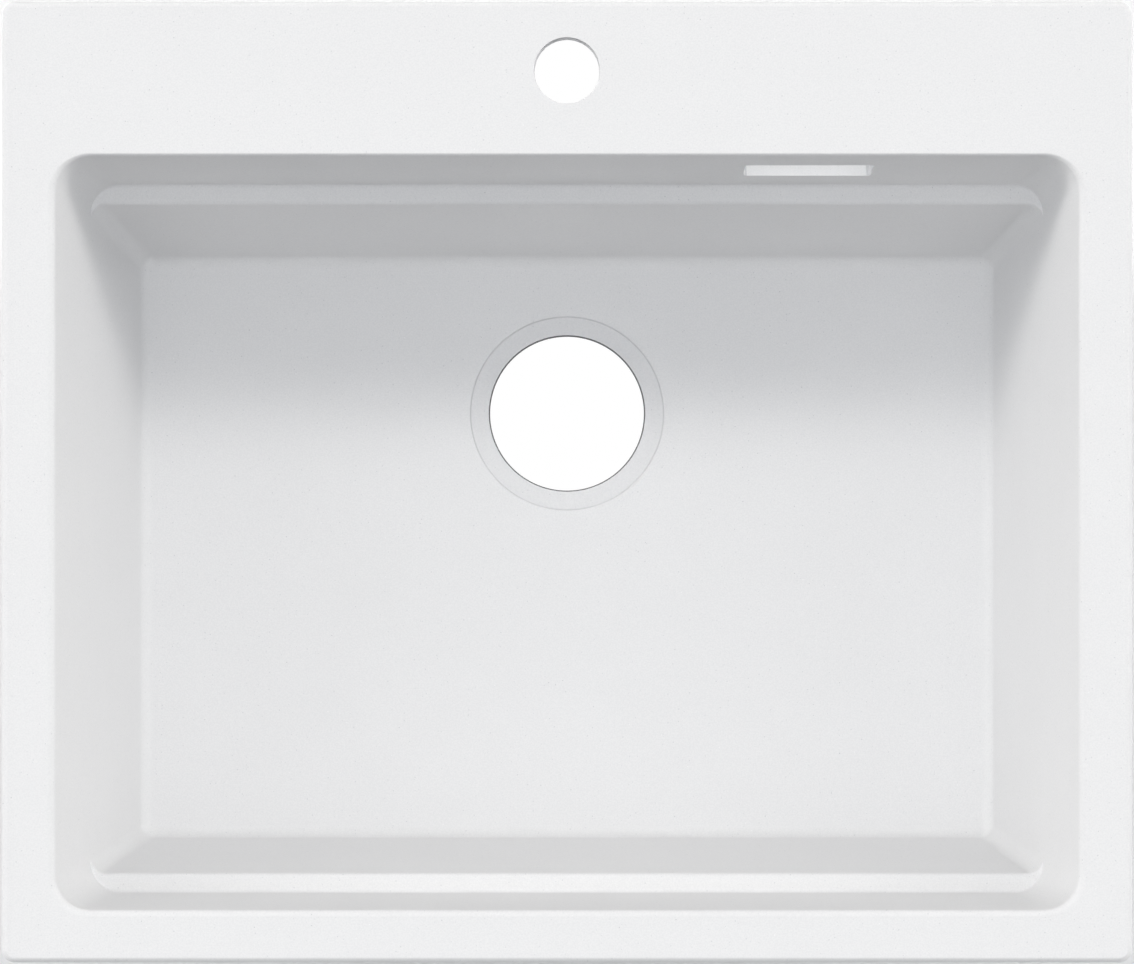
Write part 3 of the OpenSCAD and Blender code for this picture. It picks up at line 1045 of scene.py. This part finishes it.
@dataclass
class ClampClaw:
    """The stamped claw that grips the worktop from below, in millimetres.

    At rest it points along the rim, its own +Y.
    """

    plate_z: float = 149.0
    width: float = 10.0
    reach: float = 20.0
    plate_t: float = 2.0
    cheek_t: float = 1.5
    cheek_h: float = 1.0
    tooth_h: float = 6.0
    tooth_w: float = 4.0
    notch_h: float = 3.0
    bore_r: float = 2.58
    edge: float = 0.22

    def ramp(self, y0: float, z0: float, y1: float, z1: float) -> Piece:
        """Models a cutter over both cheeks whose lower face rises from y0, z0 to y1, z1."""
        top = self.plate_z + self.plate_t + self.tooth_h + 1.0
        tool = Bench.block("ramp", (-self.width, y0, z0), (self.width, y1, top))
        Bench.slide_points(tool, lambda v: v.co.z < (top - 0.1) * MM and v.co.y > (y0 + y1) / 2 * MM,
                           (0.0, 0.0, z1 - z0))
        return tool

    def build(self) -> Piece:
        """Cuts the claw from a blank: channel, sloping cheeks, teeth and bore, with its edges broken."""
        half, z = self.width / 2, self.plate_z
        plate_top, tip = z + self.plate_t, z + self.plate_t + self.tooth_h
        claw = Bench.block("claw", (-half, 0.0, z), (half, self.reach, tip))
        inner = half - self.cheek_t
        Bench.combine(claw, Bench.block("channel", (-inner, -1.0, plate_top),
                                        (inner, self.reach + 1.0, tip + 1.0)))
        first, second = self.reach - 2 * self.tooth_w, self.reach - self.tooth_w
        notch = tip - self.notch_h
        for ramp in ((-1.0, plate_top, half, plate_top), (half, plate_top + self.cheek_h, first, notch),
                     (first, notch, second, tip), (second, notch, self.reach + 0.001, tip)):
            Bench.combine(claw, self.ramp(*ramp))
        Bench.combine(claw, Bench.cylinder("boss", half, z, plate_top, 48), Mix.ADD)
        Bench.combine(claw, Bench.cylinder("bore", self.bore_r, z - 1.0, plate_top + 1.0, 40))
        Bench.tidy(claw)
        Bench.apply(claw, "BEVEL", width=self.edge * MM, segments=2, limit_method="ANGLE",
                    angle_limit=math.radians(40), harden_normals=False)
        Bench.smooth(claw, 35.0)
        return claw


@dataclass
class ClampSet:
    """The eight worktop clamps, each a screw, a washer and a claw that move on their own bodies."""

    screw: ClampScrew = field(default_factory=ClampScrew)
    washer: ClampWasher = field(default_factory=ClampWasher)
    claw: ClampClaw = field(default_factory=ClampClaw)
    pieces: dict[str, list[Piece]] = field(default_factory=dict, init=False)

    def build(self) -> None:
        """Models one clamp and copies it to the eight places."""
        for kind, maker in (("screw", self.screw), ("washer", self.washer), ("claw", self.claw)):
            first = maker.build()
            self.pieces[kind] = [
                Bench.copy(f"worktop_{kind}_{spot.name}", first, spot.matrix()) for spot in SPOTS]
            bpy.data.objects.remove(first)

    def dress(self, zinc: Material, galvanised: Material) -> None:
        """Gives the clamps their finishes and their bodies.

        Args:
            zinc: The finish of the screws and washers.
            galvanised: The finish of the claws.
        """
        for kind, copies in self.pieces.items():
            for spot, piece in zip(SPOTS, copies):
                Bench.wear(piece, galvanised if kind == "claw" else zinc)
                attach(piece, f"{kind}_{spot.name}")
                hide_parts(f"clamp_{kind}_{spot.name}")


class Tree:
    """A node tree that is built a node at a time."""

    def __init__(self, tree: bpy.types.NodeTree) -> None:
        """Takes over a tree and empties it."""
        self.nodes, self.links = tree.nodes, tree.links
        self.nodes.clear()

    def add(self, kind: str, inputs: dict[str | int, object] | None = None,
            **settings: object) -> bpy.types.Node:
        """Adds a node.

        Args:
            kind: The node's type.
            inputs: Values, or the sockets that feed them, by the name or number of its inputs.
            **settings: The node's own properties.

        Returns:
            The node.
        """
        node = self.nodes.new(kind)
        for key, value in settings.items():
            setattr(node, key, value)
        for key, value in (inputs or {}).items():
            if isinstance(value, Socket):
                self.links.new(value, node.inputs[key])
            else:
                node.inputs[key].default_value = value
        return node

    def math(self, operation: str, a: Socket | float,
             b: Socket | float = 0.0, clamp: bool = False) -> Socket:
        """Works out one value from two, held between 0 and 1 where asked for."""
        return self.add("ShaderNodeMath", {0: a, 1: b}, operation=operation, use_clamp=clamp).outputs[0]

    def measure(self, operation: str, a: Socket,
                b: Place = (0.0, 0.0, 0.0)) -> Socket:
        """Works out one value from two places or directions."""
        return self.add("ShaderNodeVectorMath", {0: a, 1: b}, operation=operation).outputs["Value"]

    def lobe(self, way: Socket, to: Vector, power: float,
             strength: float) -> Socket:
        """A soft pool of light around one direction."""
        near = self.math("MAXIMUM", self.along(way, to), 0.0)
        return self.math("MULTIPLY", self.math("POWER", near, power), strength)

    def along(self, way: Socket, to: Vector) -> Socket:
        """How far one direction points along another, from -1 to 1."""
        return self.measure("DOT_PRODUCT", way, tuple(to))

    def shade(self, kind: str, colour: object, strength: object) -> Socket:
        """Adds a shader that gives light: ShaderNodeEmission or ShaderNodeBackground."""
        return self.add(kind, {"Color": colour, "Strength": strength}).outputs[0]

    def mix(self, share: Socket, low: Socket,
            high: Socket) -> Socket:
        """Mixes two shaders by a share."""
        return self.add("ShaderNodeMixShader", {0: share, 1: low, 2: high}).outputs[0]

    def seen(self) -> Socket:
        """Is 1 for what is seen directly, in gloss or through glass, and 0 for what only lights."""
        path = self.add("ShaderNodeLightPath").outputs
        both = self.math("ADD", path["Is Camera Ray"], path["Is Glossy Ray"], clamp=True)
        return self.math("ADD", both, path["Is Transmission Ray"], clamp=True)


class Finish(Tree):
    """A material's node tree."""

    def __init__(self, name: str) -> None:
        """Starts a material with an empty tree."""
        self.material = bpy.data.materials.new(name)
        self.material.use_nodes = True
        super().__init__(self.material.node_tree)

    def place(self) -> Socket:
        """The place on the object, in metres."""
        return self.add("ShaderNodeTexCoord").outputs["Object"]

    def grain(self, scale: float, detail: float = 2.0, roughness: float = 0.5) -> Socket:
        """Noise between 0 and 1 with so many lumps to the metre."""
        inputs = {"Vector": self.place(), "Scale": scale, "Detail": detail, "Roughness": roughness}
        return self.add("ShaderNodeTexNoise", inputs).outputs["Fac"]

    def ramp(self, value: Socket, low: float, high: float, to_low: float,
             to_high: float) -> Socket:
        """Maps a value from one range to another, held at its ends."""
        inputs = {"Value": value, "From Min": low, "From Max": high, "To Min": to_low, "To Max": to_high}
        return self.add("ShaderNodeMapRange", inputs).outputs["Result"]

    def times(self, a: Socket, b: Socket | float) -> Socket:
        """Multiplies two values."""
        return self.math("MULTIPLY", a, b)

    def tint(self, share: Socket | float, low: object,
             high: object) -> Socket:
        """Mixes two colours by a share."""
        node = self.nodes.new("ShaderNodeMix")
        node.data_type = "RGBA"
        for socket, value in zip([s for s in node.inputs if s.enabled], (share, low, high)):
            if isinstance(value, Socket):
                self.links.new(value, socket)
            else:
                socket.default_value = value
        return next(s for s in node.outputs if s.enabled)

    def specks(self, spacing: float, radius: float, share: float, shift: float) -> Socket:
        """Sparse round specks, 1 inside and 0 outside.

        Args:
            spacing: Distance between the places that may hold a speck, in millimetres.
            radius: A speck's radius, in millimetres.
            share: How many of the places hold one, from 0 to 1.
            shift: An offset that tells one layer of specks from another, in metres.

        Returns:
            The mask.
        """
        moved = self.add("ShaderNodeMapping", {"Vector": self.place(),
                                               "Location": (shift, shift / 2, shift / 3)})
        cells = self.add("ShaderNodeTexVoronoi", {"Vector": moved.outputs["Vector"], "Randomness": 1.0,
                                                  "Scale": 1 / (spacing * MM)}, feature="F1")
        disc = self.ramp(cells.outputs["Distance"], radius * 0.7 / spacing, radius / spacing, 1.0, 0.0)
        lot = self.add("ShaderNodeSeparateColor", {"Color": cells.outputs["Color"]}).outputs[0]
        return self.times(disc, self.math("LESS_THAN", lot, share))

    def bump(self, height: Socket, strength: float, depth: float,
             normal: Socket | None = None) -> Socket:
        """A surface normal roughened by a height, over a depth in millimetres."""
        inputs: dict[str | int, object] = {"Height": height, "Strength": strength, "Distance": depth * MM}
        if normal is not None:
            inputs["Normal"] = normal
        return self.add("ShaderNodeBump", inputs).outputs["Normal"]

    def finish(self, inputs: dict[str | int, object]) -> Material:
        """Adds the surface shader and the output, and returns the material."""
        shader = self.add("ShaderNodeBsdfPrincipled", inputs)
        self.add("ShaderNodeOutputMaterial", {"Surface": shader.outputs["BSDF"]})
        return self.material


@dataclass(frozen=True)
class StoneFace:
    """The sink's satin face: pale resin filled with fine stone, with sparse grey and white grains."""

    name: str = "stone_face"
    colour: Colour = (0.827, 0.827, 0.831, 1.0)
    grey_grain: Colour = (0.46, 0.47, 0.49, 1.0)
    soft_grain: Colour = (0.60, 0.61, 0.63, 1.0)
    white_grain: Colour = (0.93, 0.93, 0.935, 1.0)
    roughness: float = 0.42

    def material(self) -> Material:
        """Builds the material."""
        tree = Finish(self.name)
        cloud = tree.ramp(tree.grain(26.0, 3.0), 0.3, 0.7, 0.0, 1.0)
        shade = tuple(c * 0.988 for c in self.colour[:3]) + (1.0,)
        colour = tree.tint(cloud, shade, self.colour)
        fine = tree.ramp(tree.grain(1150.0, 2.0), 0.35, 0.65, 0.0, 0.2)
        colour = tree.tint(fine, colour, self.soft_grain)
        colour = tree.tint(tree.times(tree.specks(2.2, 0.34, 0.22, 0.53), 0.5), colour, self.soft_grain)
        colour = tree.tint(tree.times(tree.specks(3.1, 0.40, 0.16, 0.37), 0.7), colour, self.soft_grain)
        colour = tree.tint(tree.times(tree.specks(4.3, 0.36, 0.14, 0.11), 0.6), colour, self.grey_grain)
        colour = tree.tint(tree.times(tree.specks(3.7, 0.36, 0.08, 0.73), 0.8), colour, self.white_grain)
        rough = tree.ramp(tree.grain(900.0, 2.0), 0.3, 0.7, self.roughness - 0.05, self.roughness + 0.06)
        normal = tree.bump(tree.grain(1100.0, 2.0), 0.12, 0.05)
        return tree.finish({"Base Color": colour, "Roughness": rough, "Normal": normal, "IOR": 1.5,
                            "Specular IOR Level": 0.35})


@dataclass(frozen=True)
class HoleWallShade:
    """Painted shade for the inside of a hole: a darker, duller and mottled copy of the stone that stands for
    the shade in the hole.
    """

    name: str
    colour: Colour
    shade_mottle: Colour
    roughness: float = 0.8

    def material(self) -> Material:
        """Builds the material."""
        tree = Finish(self.name)
        # The colour is painted shade, mottled between two dark tones.
        colour = tree.tint(tree.ramp(tree.grain(900.0, 3.0), 0.4, 0.6, 0.0, 1.0), self.colour, self.shade_mottle)
        return tree.finish({"Base Color": colour, "Roughness": self.roughness, "Specular IOR Level": 0.2,
                            "Normal": tree.bump(tree.grain(1200.0, 2.0), 0.3, 0.08)})


@dataclass(frozen=True)
class StoneBack:
    """The moulding's unpolished back: the same stone, rougher, with flow marks from the mould, and darker than
    the face partly as painted shade.
    """

    # Colour: darker than the face partly as painted shade, which keeps the back from looking lit up by the low
    # light behind the sink.
    colour: Colour = (0.66, 0.665, 0.675, 1.0)
    stain: Colour = (0.56, 0.565, 0.57, 1.0)
    grain_colour: Colour = (0.38, 0.39, 0.41, 1.0)
    roughness: float = 0.72

    def material(self) -> Material:
        """Builds the material."""
        tree = Finish("stone_back")
        flow = tree.add("ShaderNodeMapping", {"Vector": tree.place(), "Scale": (1.0, 1.0, 0.25)})
        marks = tree.add("ShaderNodeTexNoise", {"Vector": flow.outputs["Vector"], "Scale": 34.0,
                                                "Detail": 5.0, "Roughness": 0.6})
        colour = tree.tint(tree.ramp(marks.outputs["Fac"], 0.42, 0.7, 0.0, 0.7), self.colour, self.stain)
        colour = tree.tint(tree.times(tree.specks(2.6, 0.42, 0.12, 0.21), 0.7), colour, self.grain_colour)
        rough = tree.ramp(tree.grain(420.0, 3.0), 0.3, 0.7, self.roughness - 0.08, self.roughness + 0.1)
        coarse = tree.bump(tree.grain(260.0, 4.0, 0.6), 0.35, 0.25)
        normal = tree.bump(tree.grain(1400.0, 2.0), 0.3, 0.08, coarse)
        return tree.finish({"Base Color": colour, "Roughness": rough, "Normal": normal, "IOR": 1.5,
                            "Specular IOR Level": 0.3})


@dataclass(frozen=True)
class Metal:
    """A plated or turned metal with fine scratches and, where asked for, the spangle of hot-dip zinc."""

    name: str
    colour: Colour
    dull: Colour
    roughness: float
    spangle: float = 0.0

    def material(self) -> Material:
        """Builds the material."""
        tree = Finish(self.name)
        patches = tree.ramp(tree.grain(420.0, 4.0, 0.6), 0.4, 0.65, 0.0, 0.6)
        colour = tree.tint(patches, self.colour, self.dull)
        rough = tree.ramp(tree.grain(900.0, 3.0), 0.3, 0.7, self.roughness - 0.07, self.roughness + 0.1)
        if self.spangle > 0.0:
            cells = tree.add("ShaderNodeTexVoronoi", {"Vector": tree.place(),
                                                      "Scale": 1 / (self.spangle * MM)})
            tone = tree.add("ShaderNodeSeparateColor", {"Color": cells.outputs["Color"]}).outputs[0]
            colour = tree.tint(tree.times(tone, 0.45), colour, self.dull)
        marks = tree.add("ShaderNodeMapping", {"Vector": tree.place(), "Scale": (1.0, 1.0, 7.0)})
        lines = tree.add("ShaderNodeTexNoise", {"Vector": marks.outputs["Vector"], "Scale": 1300.0,
                                                "Detail": 2.0})
        return tree.finish({"Base Color": colour, "Metallic": 1.0, "Roughness": rough,
                            "Normal": tree.bump(lines.outputs["Fac"], 0.18, 0.04)})


@dataclass(frozen=True)
class Foam:
    """Closed-cell foam rubber with open pores at its cut faces."""

    colour: Colour = (0.030, 0.031, 0.034, 1.0)
    pore: Colour = (0.012, 0.012, 0.013, 1.0)
    dust: Colour = (0.12, 0.12, 0.12, 1.0)
    roughness: float = 0.9

    def material(self) -> Material:
        """Builds the material."""
        tree = Finish("seal_foam")
        cells = tree.add("ShaderNodeTexVoronoi", {"Vector": tree.place(), "Scale": 1800.0})
        pores = tree.ramp(cells.outputs["Distance"], 0.15, 0.55, 1.0, 0.0)
        colour = tree.tint(tree.times(pores, 0.8), self.colour, self.pore)
        dust = tree.ramp(tree.grain(60.0, 4.0), 0.5, 0.75, 0.0, 0.12)
        colour = tree.tint(dust, colour, self.dust)
        rough = tree.ramp(tree.grain(700.0), 0.3, 0.7, self.roughness - 0.08, self.roughness + 0.05)
        return tree.finish({"Base Color": colour, "Roughness": rough,
                            "Normal": tree.bump(cells.outputs["Distance"], 0.6, 0.15),
                            "Specular IOR Level": 0.2})


@dataclass(frozen=True)
class Sky:
    """The room's soft light by direction: overall, from above, from both sides and from a strip light.

    The strip runs from the left over the back to the right, so it shades the floor along a straight line. It
    is stronger towards its ends, and a little warmer than the rest.
    """

    overall: float = 0.098
    above: float = 0.25
    above_power: float = 16.0
    zenith: float = 5.95
    zenith_power: float = 60.0
    left: float = 1.01
    right: float = 0.84
    side_power: float = 6.0
    strip_middle: float = 3.75
    strip_ends: float = 10.85
    strip_half_width: float = 0.13
    strip_lean: float = 34.0
    side_height: float = 40.0
    room_colour: Colour = (0.957, 0.974, 1.0, 1.0)
    strip_colour: Colour = (1.0, 0.980, 0.950, 1.0)

    def room_strength(self, tree: Tree, way: Socket) -> Socket:
        """Works out the strength of the room's light without the strip's, by direction."""
        up = Vector((0.0, 0.0, 1.0))
        total = tree.math("ADD", tree.lobe(way, up, self.above_power, self.above), self.overall)
        total = tree.math("ADD", total, tree.lobe(way, up, self.zenith_power, self.zenith))
        rise = math.radians(self.side_height)
        for sign, share in ((-1, self.left), (1, self.right)):
            side = Vector((sign * math.cos(rise), 0.0, math.sin(rise)))
            total = tree.math("ADD", total, tree.lobe(way, side, self.side_power, share))
        return total

    def strip_strength(self, tree: Tree, way: Socket) -> Socket:
        """Works out the strip's strength by direction."""
        lean = math.radians(self.strip_lean)
        off = tree.math("ABSOLUTE", tree.along(way, Vector((0.0, math.cos(lean), -math.sin(lean)))))
        band = tree.math("SUBTRACT", 1.0, tree.math("DIVIDE", off, self.strip_half_width), clamp=True)
        overhead = tree.math("GREATER_THAN", tree.along(way, Vector((0.0, 0.0, 1.0))), 0.0)
        band = tree.math("MULTIPLY", band, overhead)
        x = tree.along(way, Vector((1.0, 0.0, 0.0)))
        inner = tree.math("SUBTRACT", 1.0, tree.math("MULTIPLY", x, x))
        middle = tree.math("MULTIPLY", tree.math("POWER", inner, 3.0), self.strip_middle)
        ends = tree.math("SUBTRACT", 1.0, tree.math("MULTIPLY", inner, inner))
        level = tree.math("ADD", middle, tree.math("MULTIPLY", ends, self.strip_ends))
        return tree.math("MULTIPLY", band, level)

    def shader(self, tree: Tree) -> Socket:
        """Adds up the room's and the strip's light."""
        way = tree.add("ShaderNodeTexCoord").outputs["Generated"]
        room = tree.shade("ShaderNodeBackground", self.room_colour, self.room_strength(tree, way))
        strip = tree.shade("ShaderNodeBackground", self.strip_colour, self.strip_strength(tree, way))
        return tree.add("ShaderNodeAddShader", {0: room, 1: strip}).outputs[0]


@dataclass
class Studio:
    """Camera, floor, world and lamps. Lengths are in metres.

    ``white_spots`` are the places on the floor that the camera sees through the sink's two round holes,
    each with its radius. ``base_half``, ``base_y`` and ``base_light`` are the half size, middle and strength
    of the patch of floor that lights the sink's flat base from below. ``drain_ring`` is where that patch
    begins round the waste hole.
    """

    camera_height: float = 2.528
    lens: float = 138.7
    sensor: float = 36.0
    low_light_width: float = 1.2
    low_light_height: float = 0.04
    low_light_y: float = 0.29
    low_light_z: float = 0.08
    low_light_rise: float = 26.0
    low_light_power: float = 0.49
    sky: Sky = field(default_factory=Sky)
    floor_size: float = 9.0
    floor_z: float = -0.0004
    floor_pale: Colour = (0.86, 0.862, 0.866, 1.0)
    floor_paler: Colour = (0.88, 0.882, 0.886, 1.0)
    fade_start: float = 0.5
    fade_end: float = 1.6
    drain_place: Place = (0.0, 0.0395, 0.0)
    drain_ring: tuple[float, float] = (0.0455, 0.047)
    white_spots: tuple[tuple[Place, float], ...] = (((0.0, 0.0395, 0.0), 0.06), ((0.0, 0.238, 0.0), 0.021))
    white_spot_fade: float = 0.003
    base_half: tuple[float, float] = (0.252, 0.174)
    base_y: float = -0.038
    base_fade: float = 0.012
    base_light: float = 0.6

    def shoot(self) -> None:
        """Sets up all of it."""
        self.camera()
        self.low_light()
        self.world()
        self.floor()
        bpy.context.scene.view_settings.view_transform = "Standard"

    def camera(self) -> None:
        """Hangs the camera straight above the sink's middle, with the sink's back at the top of the frame."""
        data = bpy.data.cameras.new("camera")
        data.lens, data.sensor_width = self.lens, self.sensor
        data.clip_start, data.clip_end = 0.05, 50.0
        camera = bpy.data.objects.new("camera", data)
        camera.location = (0.0, 0.0, self.camera_height)
        bpy.context.scene.collection.objects.link(camera)
        bpy.context.scene.camera = camera

    def low_light(self) -> None:
        """Lays a weak strip light low behind the sink, under the tap deck, to light the overflow slot."""
        data = bpy.data.lights.new("low_light", "AREA")
        data.shape = "RECTANGLE"
        data.size, data.size_y = self.low_light_width, self.low_light_height
        data.energy = self.low_light_power
        lamp = bpy.data.objects.new("low_light", data)
        lamp.location = (0.0, self.low_light_y, self.low_light_z)
        rise = math.radians(self.low_light_rise)
        away = Vector((0.0, math.cos(rise), -math.sin(rise)))
        lamp.rotation_euler = away.to_track_quat("Z", "Y").to_euler()
        lamp.visible_camera = False
        bpy.context.scene.collection.objects.link(lamp)

    def world(self) -> None:
        """Fills the room with soft white light, and shows white where nothing stands."""
        world = bpy.data.worlds.new("studio")
        world.use_nodes = True
        tree = Tree(world.node_tree)
        plain = tree.shade("ShaderNodeBackground", WHITE, 1.0)
        tree.add("ShaderNodeOutputWorld", {"Surface": tree.mix(tree.seen(), self.sky.shader(tree), plain)})
        bpy.context.scene.world = world

    def base_glow(self, tree: Finish) -> Socket:
        """Masks the floor right under the sink's flat base, which lights the base for a look from below."""
        place = tree.place()
        moved = tree.add("ShaderNodeVectorMath", {0: place, 1: (0.0, self.base_y, 0.0)},
                         operation="SUBTRACT")
        parts = tree.add("ShaderNodeSeparateXYZ", {0: moved.outputs["Vector"]}).outputs
        inside = tree.math("SUBTRACT", 1.0, tree.seen())
        for axis, half in zip("XY", self.base_half):
            edge = tree.ramp(tree.math("ABSOLUTE", parts[axis]), half - self.base_fade, half, 1.0, 0.0)
            inside = tree.times(inside, edge)
        from_drain = tree.measure("DISTANCE", place, self.drain_place)
        return tree.times(inside, tree.ramp(from_drain, *self.drain_ring, 0.0, 1.0))

    def floor(self) -> None:
        """Lays a pale floor that keeps the sink's shadow near it, fades to white, and is white in its holes.

        It is clear from below, so that the sink's underside can be looked at.
        """
        floor = Bench.blank("studio_floor")
        with Bench.editing(floor):
            bpy.ops.mesh.primitive_plane_add(size=self.floor_size, location=(0.0, 0.0, self.floor_z))
            bpy.ops.mesh.subdivide(number_cuts=6)
        tree = Finish("studio_floor")
        place = tree.place()
        far = tree.add("ShaderNodeMapRange", {
            "Value": tree.measure("LENGTH", place), "From Min": self.fade_start, "From Max": self.fade_end,
        }, interpolation_type="SMOOTHSTEP").outputs["Result"]
        for spot, radius in self.white_spots:
            away = tree.measure("DISTANCE", place, spot)
            far = tree.math("MAXIMUM", far, tree.ramp(away, radius, radius + self.white_spot_fade, 1.0, 0.0))
        clouds = tree.ramp(tree.grain(3.0), 0.3, 0.7, 0.0, 1.0)
        pale = tree.tint(clouds, self.floor_pale, self.floor_paler)
        ground = tree.add("ShaderNodeBsdfDiffuse", {"Color": pale}).outputs[0]
        look = tree.mix(tree.times(far, tree.seen()), ground, tree.shade("ShaderNodeEmission", WHITE, 1.0))
        glow = tree.shade("ShaderNodeEmission", WHITE, self.base_light)
        look = tree.mix(self.base_glow(tree), look, glow)
        below = tree.add("ShaderNodeNewGeometry").outputs["Backfacing"]
        look = tree.mix(below, look, tree.add("ShaderNodeBsdfTransparent").outputs[0])
        tree.add("ShaderNodeOutputMaterial", {"Surface": look})
        Bench.wear(floor, tree.material)


def main() -> None:
    """Builds the sink's pieces in order, dresses them and sets up the studio."""
    sink, seal, inserts, clamps = Moulding(), RimSeal(), InsertSet(), ClampSet()
    zinc = Metal("zinc_plate", (0.56, 0.58, 0.60, 1.0), (0.40, 0.42, 0.44, 1.0), 0.30)
    galvanised = Metal("galvanised_steel", (0.46, 0.48, 0.50, 1.0), (0.31, 0.33, 0.35, 1.0), 0.42, 2.4)
    brass = Metal("turned_brass", (0.80, 0.62, 0.30, 1.0), (0.55, 0.42, 0.20, 1.0), 0.28)
    sink.build()
    # The waste hole's wall: near-black painted shade for the unlit inside of the hole.
    drain_wall_shade = HoleWallShade("drain_wall_painted_shade", (0.12, 0.122, 0.13, 1.0), (0.20, 0.20, 0.21, 1.0))
    # The tap hole's wall: grey painted shade for the shaded inside of the hole.
    tap_wall_shade = HoleWallShade("tap_wall_painted_shade", (0.56, 0.563, 0.57, 1.0), (0.66, 0.66, 0.67, 1.0))
    # The seat round the waste hole: the face's stone a little darker, as painted shade of its shallow recess.
    seat = StoneFace("seat_painted_shade", (0.798, 0.798, 0.804, 1.0))
    # The seat's step: the face's stone much darker, as a painted shade line round the seat.
    shoulder = StoneFace("seat_step_painted_shade", (0.71, 0.71, 0.72, 1.0))
    finishes = (StoneFace(), StoneBack(), drain_wall_shade, tap_wall_shade, seat, shoulder)
    sink.dress(*(finish.material() for finish in finishes))
    log.info("moulding: %d faces", len(sink.piece.data.polygons))
    seal.build(sink)
    seal.dress(Foam().material())
    log.info("rim seal: %d faces", len(seal.piece.data.polygons))
    inserts.build()
    inserts.dress(brass.material())
    log.info("inserts: %d faces", len(inserts.piece.data.polygons))
    clamps.build()
    clamps.dress(zinc.material(), galvanised.material())
    for kind, copies in clamps.pieces.items():
        log.info("%s: %d copies of %d faces", kind, len(copies), len(copies[0].data.polygons))
    Studio().shoot()


if __name__ == "__main__":
    logging.basicConfig(level=logging.INFO, format="%(name)s: %(message)s")
    main()
